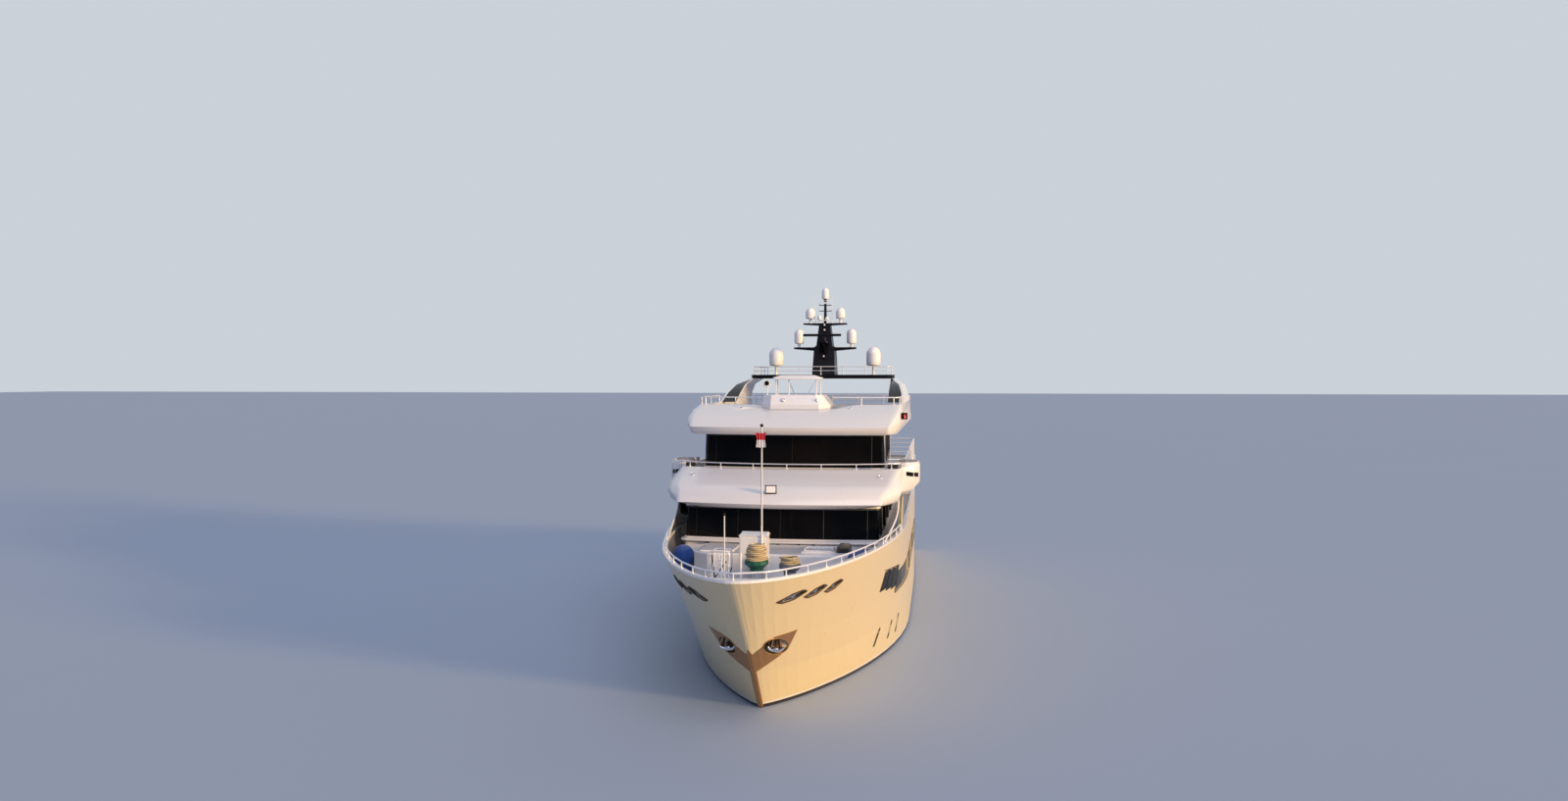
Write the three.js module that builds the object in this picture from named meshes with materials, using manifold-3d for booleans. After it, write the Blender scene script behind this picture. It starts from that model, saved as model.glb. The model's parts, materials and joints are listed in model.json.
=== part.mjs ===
// Steel motor yacht afloat. Millimetres, +Z up, bow towards -Y, port towards +X.
// The origin is on the waterline amidships.
import * as THREE from 'three';
import { mergeVertices } from 'three/addons/utils/BufferGeometryUtils.js';
import Module from 'manifold-3d';

const wasm = await Module();
wasm.setup();

// Clearance between pieces that touch, and running clearance of moving pieces
const GAP = 0.3;
const RUN = 8;
const FAR = 60000;

// Hull
const BOW_Y = -19950;
const STEM_WATER_Y = -15050;
const TRANSOM_Y = 18600;
const SHEER_Z = 5200;
const DRAUGHT = 2600;
const SHEER_HALF = 4700;
const WATER_HALF = 4650;
const ENTRY_RUN = 14000;
const BULWARK = 150;
const HULL_STATIONS = 28;
const STATION_POWER = 2.1;
const STEM_HALF = 45;

// Decks: heights of the floors, and the bands of the deck edges
const MAIN_Z = 1500;
const UPPER_Z = 4050;
const UPPER_UNDER_Z = 3800;
const BRIDGE_Z = 6650;
const BRIDGE_UNDER_Z = 6370;
const SUN_Z = 9250;
const SUN_UNDER_Z = 8980;
const FOREDECK_AFT_Y = -8500;
const WALL = 120;
const RAIL_SIDES = 4;

// Houses: Y of the after walls
const MAIN_HOUSE_AFT_Y = 10500;
const UPPER_HOUSE_AFT_Y = 8000;
const BRIDGE_HOUSE_AFT_Y = 5000;
const COCKPIT_RAIL_Z = 2450;
const UPPER_DECK_AFT_Y = 15000;
const UPPER_BULWARK_AFT_Y = 9000;
const BRIDGE_DECK_AFT_Y = 12000;
const SUNDECK_AFT_Y = 9000;
const HARDTOP_Z = 11240;
const HARDTOP_TOP_Z = 11440;

// Paint, glass and metal
const finish = (color, roughness, metalness = 0) => (
  new THREE.MeshStandardMaterial({ color, roughness, metalness })
);
const IVORY = finish(0xe9ddbf, 0.28);
const WHITE = finish(0xece9e2, 0.3);
const BLACK = finish(0x17181b, 0.35);
const GLASS = finish(0x0c0f12, 0.06);
const STEEL = finish(0xc9ccd0, 0.22, 1);
const BRONZE = finish(0x8b6a3a, 0.35, 1);
const DARK_METAL = finish(0x33312e, 0.5, 0.8);
const BLUE = finish(0x1f4f94, 0.8);
const GREEN = finish(0x2d6a4a, 0.5);
const GREY = finish(0x84878a, 0.5);
const ROPE = finish(0xc9b27a, 0.9);
const RED = finish(0xb8322c, 0.9);
const TEAK = finish(0xa37b50, 0.7);

const yacht = new THREE.Group();

// Solids

function signedVolume(positions, corners) {
  const at = (corner) => new THREE.Vector3().fromArray(positions, corners[corner] * 3);
  let volume = 0;
  for (let i = 0; i < corners.length; i += 3) {
    volume += at(i).dot(at(i + 1).cross(at(i + 2)));
  }
  return volume;
}

function toSolid(geometry) {
  const bare = geometry.clone();
  bare.deleteAttribute('normal');
  bare.deleteAttribute('uv');
  const merged = mergeVertices(bare, 0.001);
  const vertProperties = new Float32Array(merged.attributes.position.array);
  const triVerts = new Uint32Array(merged.index.array);
  if (signedVolume(vertProperties, triVerts) < 0) {
    triVerts.reverse();
  }
  return new wasm.Manifold(new wasm.Mesh({ numProp: 3, vertProperties, triVerts }));
}

function addPiece(name, solid, material) {
  const { vertProperties, triVerts } = solid.getMesh();
  const geometry = new THREE.BufferGeometry();
  geometry.setAttribute('position', new THREE.BufferAttribute(vertProperties, 3));
  geometry.setIndex(new THREE.BufferAttribute(triVerts, 1));
  geometry.computeVertexNormals();
  const mesh = new THREE.Mesh(geometry, material);
  mesh.name = name;
  yacht.add(mesh);
}

const join = (solids) => solids.reduce((all, next) => all.add(next));
const cut = (solid, tools) => tools.reduce((rest, tool) => rest.subtract(tool), solid);

// A box from its low and high corners.
function block([x0, x1], [y0, y1], [z0, z1]) {
  const box = new THREE.BoxGeometry(x1 - x0, y1 - y0, z1 - z0);
  return toSolid(box.translate((x0 + x1) / 2, (y0 + y1) / 2, (z0 + z1) / 2));
}

// A round bar between two points; offset gives its facets half a step.
function rod(from, to, radius, { sides = 8, endRadius = radius, offset = false } = {}) {
  const start = new THREE.Vector3(...from);
  const span = new THREE.Vector3(...to).sub(start);
  const bar = new THREE.CylinderGeometry(endRadius, radius, span.length(), sides);
  if (offset) {
    bar.rotateY(Math.PI / sides);
  }
  const upright = new THREE.Vector3(0, 1, 0);
  const turn = new THREE.Quaternion().setFromUnitVectors(upright, span.clone().normalize());
  bar.applyQuaternion(turn);
  const middle = start.addScaledVector(span, 0.5);
  return toSolid(bar.translate(middle.x, middle.y, middle.z));
}

// A turned body about a vertical axis; profile holds radius and height pairs.
function turned(profile, [x, y, z], sides = 16) {
  const points = profile.map(([radius, height]) => new THREE.Vector2(radius, height));
  return toSolid(new THREE.LatheGeometry(points, sides).rotateX(Math.PI / 2).translate(x, y, z));
}

// A flat outline in Y and Z, carried along X from x0 to x1.
function sidePlate(outline, x0, x1) {
  const shape = new THREE.Shape(outline.map(([y, z]) => new THREE.Vector2(y, z)));
  const plate = new THREE.ExtrudeGeometry(shape, { depth: x1 - x0, bevelEnabled: false });
  const turn = new THREE.Matrix4().makeBasis(
    new THREE.Vector3(0, 1, 0), new THREE.Vector3(0, 0, 1), new THREE.Vector3(1, 0, 0),
  );
  return toSolid(plate.applyMatrix4(turn).translate(x0, 0, 0));
}

// A flat outline in X and Z, carried along Y from y0 to y1.
function frontPlate(outline, y0, y1) {
  const shape = new THREE.Shape(outline.map(([x, z]) => new THREE.Vector2(x, z)));
  const plate = new THREE.ExtrudeGeometry(shape, { depth: y1 - y0, bevelEnabled: false });
  return toSolid(plate.rotateX(Math.PI / 2).translate(0, y1, 0));
}

// Skins a closed body over outlines with like numbers of points, each convex or mirrored about X = 0.
function loft(rings) {
  const count = rings[0].length;
  const corners = rings.flat();
  const triangles = [];
  const face = (a, b, c) => {
    if (a !== b && b !== c && c !== a) {
      triangles.push(a, b, c);
    }
  };
  for (let ring = 0; ring + 1 < rings.length; ring += 1) {
    for (let i = 0; i < count; i += 1) {
      const low = ring * count + i;
      const next = ring * count + ((i + 1) % count);
      face(low, next, next + count);
      face(low, next + count, low + count);
    }
  }
  const top = (rings.length - 1) * count;
  for (let i = 0; i + 1 < count / 2; i += 1) {
    const mirror = count - 1 - i;
    face(i, mirror, mirror - 1);
    face(i, mirror - 1, i + 1);
    face(top + i, top + mirror - 1, top + mirror);
    face(top + i, top + i + 1, top + mirror - 1);
  }
  const geometry = new THREE.BufferGeometry();
  const places = corners.flatMap((p) => [p.x, p.y, p.z]);
  geometry.setAttribute('position', new THREE.Float32BufferAttribute(places, 3));
  geometry.setIndex(triangles);
  return toSolid(geometry);
}

// A line through given points, kept to them exactly.
class Polyline extends THREE.Curve {
  constructor(points) {
    super();
    this.points = points.map(([x, y, z]) => new THREE.Vector3(x, y, z));
  }

  getPoint(t, target = new THREE.Vector3()) {
    const place = Math.min(Math.max(t, 0), 1) * (this.points.length - 1);
    const index = Math.min(Math.floor(place), this.points.length - 2);
    return target.lerpVectors(this.points[index], this.points[index + 1], place - index);
  }

  getUtoTmapping(u) {
    return u;
  }
}

// A bent tube through the points.
function tube(points, radius, sides = RAIL_SIDES) {
  const section = new THREE.Shape();
  section.setFromPoints(Array.from({ length: sides }, (_, i) => {
    const angle = (2 * Math.PI * i) / sides;
    return new THREE.Vector2(radius * Math.cos(angle), radius * Math.sin(angle));
  }));
  const path = new Polyline(points);
  return toSolid(new THREE.ExtrudeGeometry(section, {
    steps: points.length - 1, bevelEnabled: false, extrudePath: path,
  }));
}

// Hull form

// Forefoot: how far aft the stem runs under water. Run aft: where the bottom starts to rise, and its rise.
const FOREFOOT = 4000;
const BUTTOCK_Y = 3000;
const BUTTOCK_RISE = 1700;
// The stern narrows by this share from this Y to the transom.
const STERN_Y = 6000;
const STERN_TAPER = 0.1;

// Y of the stem at a level: -1 at the keel, 0 at the waterline, 1 at the sheer.
function stemY(level) {
  if (level >= 0) {
    return STEM_WATER_Y + (BOW_Y - STEM_WATER_Y) * level ** 1.05;
  }
  return STEM_WATER_Y + FOREFOOT * (-level) ** 1.6;
}

// Depth of the hull's bottom, which rises aft over the propellers.
function bottomDepth(y) {
  const rise = Math.max(0, (y - BUTTOCK_Y) / (TRANSOM_Y - BUTTOCK_Y));
  return DRAUGHT - BUTTOCK_RISE * rise ** 0.9;
}

// Half breadth at a level, at a run aft of the stem.
function halfBreadth(level, run) {
  const y = stemY(level) + run;
  const entry = 1 - (1 - Math.min(Math.max(run, 0) / ENTRY_RUN, 1)) ** 2;
  const water = WATER_HALF * entry ** 0.83;
  const sheer = SHEER_HALF * entry ** 0.58;
  const stern = 1 - STERN_TAPER * Math.max(0, (y - STERN_Y) / (TRANSOM_Y - STERN_Y)) ** 2;
  if (level >= 0) {
    const flare = level ** 1.3;
    return stern * (water + (sheer - water) * flare);
  }
  return stern * water * (1 - (-level) ** 3.2) ** 0.75;
}

// A hull outline at a level: starboard side from the stem aft, then the port side back.
function hullRing(level, { inset = 0, setback = 0 } = {}) {
  const start = stemY(level) + setback;
  const side = Array.from({ length: HULL_STATIONS + 1 }, (_, i) => {
    const y = start + (i / HULL_STATIONS) ** STATION_POWER * (TRANSOM_Y - start);
    const half = Math.max(halfBreadth(level, y - stemY(level)) - inset, STEM_HALF);
    const z = level >= 0 ? level * SHEER_Z : level * bottomDepth(y);
    return new THREE.Vector3(-half, y, z);
  });
  return [...side, ...side.toReversed().map((p) => new THREE.Vector3(-p.x, p.y, p.z))];
}

// A point on the sheer at Y, on the side given as -1 starboard or 1 port.
function sheerPoint(y, side, inset, z) {
  return [side * (halfBreadth(1, y - BOW_Y) - inset), y, z];
}

const HULL_LEVELS = [-1, -0.9, -0.7, -0.4, 0, 0.3, 0.55, 0.78, 1];
const WELL_LEVELS = [UPPER_Z / SHEER_Z, 0.9, 1, 1.06];
const COCKPIT_LEVELS = [MAIN_Z / SHEER_Z, 0.5, 0.7];
const STEM_SETBACK = 420;
const envelope = () => loft(HULL_LEVELS.map((level) => hullRing(level)));
const hollowed = (levels) => loft(levels.map((level) => (
  hullRing(level, { inset: BULWARK, setback: STEM_SETBACK })
)));
const well = () => hollowed(WELL_LEVELS);

const SHAFT_X = 2000;
const SHAFT_Z = -1950;
const SHAFT_RADIUS = 80;
const SHAFT_FRONT_Y = 8500;
const PROPELLER_Y = 15200;
const STRUT_Y = 14300;
const RUDDER_Y = 16650;
const RUDDER_TOP_Z = -1050;
const SIDES = [['port', 1], ['starboard', -1]];

// Mooring openings through the bulwark: Y and height of the middle of each
const FAIRLEADS_Y = [-18000, -17050, -16100];
const FAIRLEAD_Z = 4450;
// Outline of one from its middle, in Y and Z: a slanted leaf with pointed ends
const FAIRLEAD_OUTLINE = [
  [-400, -120], [-200, -130], [120, -70], [400, 130], [180, 140], [-120, 70],
];

// Anchor pockets beside the stem
const ANCHOR_X = 800;
const ANCHOR_Z = 2560;
const POCKET_RADIUS = 340;
const POCKET_BACK_Y = -16350;

function fairlead(y) {
  const outline = FAIRLEAD_OUTLINE.map(([along, up]) => [y + along, FAIRLEAD_Z + up]);
  return sidePlate(outline, -SHEER_HALF, SHEER_HALF);
}

function pocket(side) {
  const x = side * ANCHOR_X;
  return rod([x, -FAR, ANCHOR_Z], [x, POCKET_BACK_Y, ANCHOR_Z], POCKET_RADIUS, { sides: 12 });
}

// Stern steps on each side: X of their sides, then Y of each riser and height of its tread
const STEPS_X = [2500, 3500];
const STERN_STEPS = [[17300, 1180], [17730, 860], [18160, 520]];

function buildHull() {
  const cuts = [
    block([-FAR, FAR], [-FAR, FOREDECK_AFT_Y + 10], [UPPER_Z, FAR]),
    block([-FAR, FAR], [FOREDECK_AFT_Y, MAIN_HOUSE_AFT_Y + GAP], [MAIN_Z, FAR]),
    block([-FAR, FAR], [MAIN_HOUSE_AFT_Y - 10, FAR], [COCKPIT_RAIL_Z, FAR]),
    hollowed(COCKPIT_LEVELS).intersect(
      block([-FAR, FAR], [MAIN_HOUSE_AFT_Y - 10, TRANSOM_Y - BULWARK], [0, FAR]),
    ),
    ...SIDES.map(([, side]) => pocket(side)),
  ];
  for (const [, side] of SIDES) {
    const across = STEPS_X.map((x) => side * x).toSorted((a, b) => a - b);
    for (const [y, z] of STERN_STEPS) {
      cuts.push(block(across, [y, FAR], [z, FAR]));
    }
  }
  const fittings = SIDES.flatMap(([, side]) => [
    buildBossing(side),
    rod([side * SHAFT_X, RUDDER_Y, -400], [side * SHAFT_X, RUDDER_Y, RUDDER_TOP_Z], 180, { sides: 12 }),
  ]);
  const struts = SIDES.map(([, side]) => buildStrut(side));
  return cut(join([cut(envelope(), cuts), ...fittings, ...struts]), SIDES.map(([, side]) => strutBore(side)));
}

// Swelling of the bottom where a shaft leaves the hull
function buildBossing(side) {
  const x = side * SHAFT_X;
  const swelling = rod([x, 2000, SHAFT_Z + 500], [x, SHAFT_FRONT_Y + 40, SHAFT_Z], 130, {
    sides: 12, endRadius: 200,
  });
  return swelling.intersect(block([-FAR, FAR], [-FAR, SHAFT_FRONT_Y], [-FAR, FAR]));
}

const strutBore = (side) => rod(
  [side * SHAFT_X, STRUT_Y - 260, SHAFT_Z], [side * SHAFT_X, STRUT_Y + 260, SHAFT_Z],
  (SHAFT_RADIUS + 0.6) / Math.cos(Math.PI / 16), { sides: 16 },
);

// V strut that carries the propeller shaft, its legs run up into the hull
function buildStrut(side) {
  const x = side * SHAFT_X;
  const barrel = rod([x, STRUT_Y - 200, SHAFT_Z], [x, STRUT_Y + 200, SHAFT_Z], 150, { sides: 16 });
  const legs = [-480, 480].map((reach) => {
    const leg = new THREE.BoxGeometry(70, 260, 1150).translate(0, 0, 575);
    leg.rotateY(Math.atan2(reach, 900));
    return toSolid(leg.translate(x, STRUT_Y, SHAFT_Z));
  });
  return join([barrel, ...legs]);
}

// Cap rail: how far it stands out of the bulwark, outside and inside, and its underside and top
const CAP_RAIL = { out: 25, over: 20, z: [SHEER_Z - 20, SHEER_Z + 70] };

function buildCapRail() {
  const { out, over, z: [z0, z1] } = CAP_RAIL;
  const ring = (inset, setback, z) => (
    hullRing(1, { inset, setback }).map((p) => new THREE.Vector3(p.x, p.y, z))
  );
  const outer = loft([ring(-out, 0, z0), ring(-out, 0, z1)]);
  const inner = loft([z0 - 30, z1 + 80].map((z) => ring(BULWARK + over, STEM_SETBACK + over, z)));
  return outer.subtract(inner).intersect(block([-FAR, FAR], [-FAR, FOREDECK_AFT_Y], [0, FAR]));
}

// Bulwark round the foredeck on one side of the stem, with its fairleads and cap rail
function buildBowBulwark(side) {
  const x = side > 0 ? [GAP / 2, FAR] : [-FAR, -GAP / 2];
  const region = block(x, [-FAR, FOREDECK_AFT_Y], [UPPER_Z + GAP, FAR]);
  const plating = cut(envelope(), [well(), ...FAIRLEADS_Y.map(fairlead)]);
  return join([plating, buildCapRail()]).intersect(region);
}

// Polished plate over the stem, with an arm to each anchor pocket, as seen from ahead: X and Z
const GUARD_OUTLINE = [
  [0, 2600], [100, 2350], [780, 2920], [860, 2970], [1480, 3060],
  [1180, 2470], [890, 2150], [110, 1620], [100, 40], [0, 40],
];

const GUARD_THICKNESS = 14;

function buildStemGuard() {
  const bow = envelope().intersect(block([-FAR, FAR], [-FAR, -13500], [-500, 4000]));
  const swollen = (amount) => (
    join([-amount, amount].map((shift) => bow.translate([shift, -amount, 0])))
  );
  const port = GUARD_OUTLINE;
  const starboard = GUARD_OUTLINE.slice(1, -1).toReversed().map(([x, z]) => [-x, z]);
  const outline = frontPlate([...port, ...starboard], -19000, -14000);
  const plate = swollen(GUARD_THICKNESS).intersect(outline);
  return cut(plate, [swollen(GAP), ...SIDES.map(([, side]) => pocket(side))]);
}

function buildAnchor(side) {
  const at = (x, y, z) => [side * (ANCHOR_X + x), y, ANCHOR_Z + z];
  const back = POCKET_BACK_Y - GAP;
  const shank = rod(at(0, back, 0), at(0, back - 420, 0), 60, { sides: 8 });
  const crown = rod(at(-230, back - 420, -90), at(230, back - 420, -90), 75, { sides: 8 });
  const flukes = [-160, 160].map((x) => (
    rod(at(x, back - 430, -110), at(x * 0.8, back - 330, 210), 75, { sides: 6, endRadius: 20 })
  ));
  return join([shank, crown, ...flukes]);
}

// Swim platform: half breadth, Y of its end, corner cut and heights
const PLATFORM = { half: 3600, aftY: 19950, corner: 350, z: [340, 500] };

function buildSwimPlatform() {
  const { half, aftY, corner } = PLATFORM;
  return loft(PLATFORM.z.map((z) => [
    [-half, TRANSOM_Y + GAP], [-half, aftY - corner], [-half + corner, aftY],
    [half - corner, aftY], [half, aftY - corner], [half, TRANSOM_Y + GAP],
  ].map(([x, y]) => new THREE.Vector3(x, y, z))));
}

// Decks and houses above the hull

// Shares of the turn round a front corner, and places along the front edge between the corners
const CORNER_PARTS = [0, 0.25, 0.5, 0.75, 1];
const FRONT_PARTS = [-2 / 3, -1 / 3, 0, 1 / 3, 2 / 3];

// Plan outline at height z: starboard after corner, round the front, port after corner.
// camber bows the front edge, rx and ry round its corners, half and aftHalf are half breadths.
// bevel 1 makes the corners round, and 2 cuts them straight.
function planRing({ front, aft, half, aftHalf = half, camber, rx, ry, bevel = 1 }, z, inset = 0) {
  const flat = half - rx;
  const starboard = CORNER_PARTS.map((part) => {
    const angle = (part * Math.PI) / 2;
    return new THREE.Vector3(
      -flat - (rx - inset) * Math.cos(angle) ** bevel,
      front + camber + ry - (ry - inset) * Math.sin(angle) ** bevel,
      z,
    );
  });
  const bow = FRONT_PARTS.map((part) => (
    new THREE.Vector3(part * flat, front + inset + camber * part ** 2, z)
  ));
  const port = starboard.toReversed().map((p) => new THREE.Vector3(-p.x, p.y, p.z));
  const after = aftHalf - inset;
  const corner = (side) => new THREE.Vector3(side * after, aft - inset, z);
  return [corner(-1), ...starboard, ...bow, ...port, corner(1)];
}

// The plan between two plans, part of the way up.
function mixPlans(low, high, part) {
  return Object.fromEntries(Object.keys(low).map((key) => [key, low[key] + (high[key] - low[key]) * part]));
}

// Two limits brought in by the gap, and taken a little past themselves
const within = ([low, high]) => [low + GAP, high - GAP];
const past = ([low, high]) => [low - 10, high + 10];
const halfSpace = (side) => block(side > 0 ? [0, FAR] : [-FAR, 0], [-FAR, FAR], [-FAR, FAR]);

// The slice between two heights of a house given by a low and a high plan
function housePrism({ low, high, lowZ, highZ }, heights, inset = 0) {
  return loft(heights.map((z) => (
    planRing(mixPlans(low, high, (z - lowZ) / (highZ - lowZ)), z, inset)
  )));
}

const UPPER_HOUSE = {
  lowZ: UPPER_Z + GAP,
  highZ: BRIDGE_UNDER_Z - GAP,
  low: { front: -10850, aft: UPPER_HOUSE_AFT_Y, half: 3860, aftHalf: 3800, camber: 250, rx: 180, ry: 260 },
  high: { front: -10550, aft: UPPER_HOUSE_AFT_Y, half: 3820, aftHalf: 3800, camber: 250, rx: 180, ry: 260 },
};
const BRIDGE_HOUSE = {
  lowZ: BRIDGE_Z + GAP,
  highZ: SUN_UNDER_Z - GAP,
  low: { front: -7550, aft: BRIDGE_HOUSE_AFT_Y, half: 3830, aftHalf: 3500, camber: 300, rx: 180, ry: 260 },
  high: { front: -7200, aft: BRIDGE_HOUSE_AFT_Y, half: 3790, aftHalf: 3460, camber: 300, rx: 180, ry: 260 },
};

// Window bands: heights, and the Y at which the band ends along the sides
const UPPER_BAND = { z: [5100, 6230], aftY: 6600 };
const BRIDGE_BAND = { z: [7560, 8880], aftY: -6750 };
const SIDE_BAND = { z: [7560, 8880], y: [-5200, 4000] };
const GLASS_INSET = 62;
const UPPER_MULLIONS_Y = [-9000, -6400, -3800, -1200, 1400, 4000];
const BRIDGE_MULLIONS_Y = [-2900, -600, 1700];
const MULLION_HALF = 45;

// Doors: the side doors of the wheelhouse, and the sliding doors of the after walls
const BRIDGE_DOOR = { y: [-6500, -5500], z: [6700, 8780] };
const SALOON_DOOR = { half: 1000, z: [1560, 3640] };
const UPPER_DOOR = { half: 1000, z: [4110, 6180] };
const LOUNGE_DOOR = { half: 1000, z: [6710, 8780] };

// Walls with the band cut right through, but for mullions that stand in the outer half of the wall.
function glazedWalls(house, band, bars) {
  const { lowZ, highZ } = house;
  const walls = housePrism(house, [lowZ, highZ]).subtract(housePrism(house, past([lowZ, highZ]), WALL));
  const limit = block([-FAR, FAR], band.y ?? [-FAR, band.aftY], band.z);
  const inner = housePrism(house, past(band.z), GLASS_INSET - GAP).intersect(limit);
  return cut(walls, [cut(limit, bars), inner]);
}

function bandGlass(house, band) {
  const z = within(band.z);
  const pane = housePrism(house, z, GLASS_INSET).subtract(housePrism(house, past(z), WALL));
  return pane.intersect(block([-FAR, FAR], within(band.y ?? [-FAR, band.aftY]), z));
}

const mullions = (places, z) => places.map((y) => (
  block([-FAR, FAR], [y - MULLION_HALF, y + MULLION_HALF], z)
));
const doorway = ({ half, z }, aftY) => block([-half, half], [aftY - 500, aftY + 500], z);

// Main deck house: its sides are the hull's own form
const MAIN_WINDOWS_Y = [[-8250, -3200], [-2700, 2350], [2850, 7900]];
const MAIN_WINDOW_Z = [2700, 3520];
const MAIN_GLASS_Y = [MAIN_WINDOWS_Y[0][0], MAIN_WINDOWS_Y[2][1]];
const PANE_LEVELS = [0.4, 0.55, 0.7];
const MAIN_LEVELS = [MAIN_Z + GAP, 2300, 3100, UPPER_UNDER_Z - GAP].map((z) => z / SHEER_Z);
const hullShell = (levels, inset) => loft(levels.map((level) => hullRing(level, { inset })));

function buildMainHouse() {
  const region = block([-FAR, FAR], [FOREDECK_AFT_Y + GAP, MAIN_HOUSE_AFT_Y], [0, FAR]);
  const rooms = hullShell([0.25, 0.45, 0.6, 0.75], WALL).intersect(
    block([-FAR, FAR], [FOREDECK_AFT_Y + WALL, MAIN_HOUSE_AFT_Y - WALL], [0, FAR]),
  );
  const walls = hullShell(MAIN_LEVELS, 0).intersect(region);
  const windows = MAIN_WINDOWS_Y.map((y) => block([-FAR, FAR], y, MAIN_WINDOW_Z));
  const rebate = hullShell(PANE_LEVELS, GLASS_INSET - GAP).intersect(
    block([-FAR, FAR], MAIN_GLASS_Y, MAIN_WINDOW_Z),
  );
  return cut(walls, [rooms, ...windows, rebate, doorway(SALOON_DOOR, MAIN_HOUSE_AFT_Y)]);
}

function buildMainGlass(side) {
  const pane = hullShell(PANE_LEVELS, GLASS_INSET).subtract(hullShell([0.35, 0.55, 0.75], WALL));
  return pane.intersect(halfSpace(side)).intersect(
    block([-FAR, FAR], within(MAIN_GLASS_Y), within(MAIN_WINDOW_Z)),
  );
}

// Upper deck: slab and bulwark in the hull's form, with a screen each side up to the bridge deck
const COAMING = 60;
const SCREEN_X = [4520, 4600];
const SCREEN_TOP = BRIDGE_UNDER_Z - GAP;
const SCREEN_OUTLINE = [
  [-8300, 5000], [-8150, 5500], [-7700, 6000], [-7000, SCREEN_TOP], [-5200, SCREEN_TOP], [-5450, 5900],
  [-5600, 5000],
];

function buildUpperDeck() {
  const levels = [UPPER_UNDER_Z / SHEER_Z, UPPER_Z / SHEER_Z, 0.9, 1];
  const region = block([-FAR, FAR], [FOREDECK_AFT_Y + GAP, UPPER_DECK_AFT_Y], [0, FAR]);
  const deck = cut(hullShell(levels, 0).intersect(region), [
    well(),
    block([-FAR, FAR], [UPPER_BULWARK_AFT_Y, FAR], [UPPER_Z + COAMING, FAR]),
  ]);
  const coaming = block(
    [-4400, 4400], [UPPER_DECK_AFT_Y - BULWARK, UPPER_DECK_AFT_Y], [UPPER_Z - 20, UPPER_Z + COAMING],
  );
  const screens = SIDES.map(([, side]) => {
    const [x0, x1] = SCREEN_X.map((x) => side * x).toSorted((a, b) => a - b);
    return sidePlate(SCREEN_OUTLINE, x0, x1);
  });
  return join([deck, coaming, ...screens]);
}

// A deck with a rounded edge whose front leans back, and inside it the deck's well
function buildTub({ edge, wellPlan, floor, bulwarkAftY }) {
  const body = loft(edge.map(({ z, ...plan }) => planRing(plan, z)));
  const crest = edge.at(-1).z;
  const hollow = loft([planRing(wellPlan, floor), planRing(wellPlan, crest + 200)]);
  const open = block([-FAR, FAR], [bulwarkAftY, FAR], [floor + COAMING, FAR]);
  return cut(body, [hollow, open]);
}

// Outlines of a deck's edge from its underside up to the top of its bulwark
const BRIDGE_DECK = {
  floor: BRIDGE_Z,
  bulwarkAftY: 3000,
  edge: [
    { z: BRIDGE_UNDER_Z, front: -11600, half: 4250, camber: 350, rx: 1300, ry: 1900, bevel: 1.5 },
    { z: 6620, front: -11750, half: 4500, camber: 350, rx: 1000, ry: 1500, bevel: 1.2 },
    { z: 6850, front: -11600, half: 4600, camber: 400, rx: 800, ry: 1200, bevel: 1.1 },
    { z: 7150, front: -10700, half: 4620, camber: 420, rx: 600, ry: 800, bevel: 1 },
    { z: 7620, front: -8950, half: 4600, camber: 750, rx: 450, ry: 650, bevel: 1 },
  ].map((plan) => ({ ...plan, aft: BRIDGE_DECK_AFT_Y, aftHalf: 4640 })),
  wellPlan: {
    front: -8800, aft: BRIDGE_DECK_AFT_Y - 120, half: 4480, aftHalf: 4500, camber: 700, rx: 450, ry: 650,
  },
};
const SUNDECK = {
  floor: SUN_Z,
  bulwarkAftY: 7200,
  edge: [
    { z: SUN_UNDER_Z, front: -8650, half: 4330, camber: 350, rx: 600, ry: 1300, bevel: 1.3 },
    { z: 9340, front: -8750, half: 4420, camber: 350, rx: 420, ry: 900, bevel: 1 },
    { z: 9620, front: -8000, half: 4450, camber: 200, rx: 380, ry: 600, bevel: 1 },
    { z: 9900, front: -6950, half: 4450, camber: 200, rx: 340, ry: 450, bevel: 1 },
    { z: 10120, front: -5750, half: 4420, camber: 350, rx: 300, ry: 350, bevel: 1 },
  ].map((plan) => ({ ...plan, aft: SUNDECK_AFT_Y, aftHalf: 4450 })),
  wellPlan: {
    front: -5600, aft: SUNDECK_AFT_Y - 120, half: 4300, aftHalf: 4330, camber: 350, rx: 300, ry: 400,
  },
};
const crestOf = ({ edge }) => edge.at(-1);

// Wing of the bridge deck beyond the side, with the lookout's space inside it
const WING = { y: [-7400, -5500], inner: 4350, outer: 5250, wall: 90, floor: BRIDGE_Z };
// Its outside from the keel up: height and inset
const WING_LEVELS = [[6480, 200], [6600, 0], [7700, 0], [7820, 60]];

function wingRing(side, z, inset) {
  const { y: [y0, y1], inner, outer } = WING;
  return [
    [inner, y1 - inset], [outer - 250, y1 - 80 - inset], [outer - inset, y1 - 400],
    [outer - inset, y0 + 550], [outer - 250, y0 + 180 + inset], [inner, y0 + inset],
  ].map(([x, y]) => new THREE.Vector3(side * x, y, z));
}

const wings = () => SIDES.map(([, side]) => (
  loft(WING_LEVELS.map(([z, inset]) => wingRing(side, z, inset)))
));
const wingHollows = () => SIDES.map(([, side]) => (
  loft([wingRing(side, WING.floor, WING.wall), wingRing(side, FAR, WING.wall)])
));

function buildBridgeDeck() {
  return cut(join([buildTub(BRIDGE_DECK), ...wings()]), wingHollows());
}

// Console pod on the front of the sundeck
const POD = { x: [-1450, 1450], y: [-6600, -4500], z: [SUN_Z + GAP, 10550] };

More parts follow.
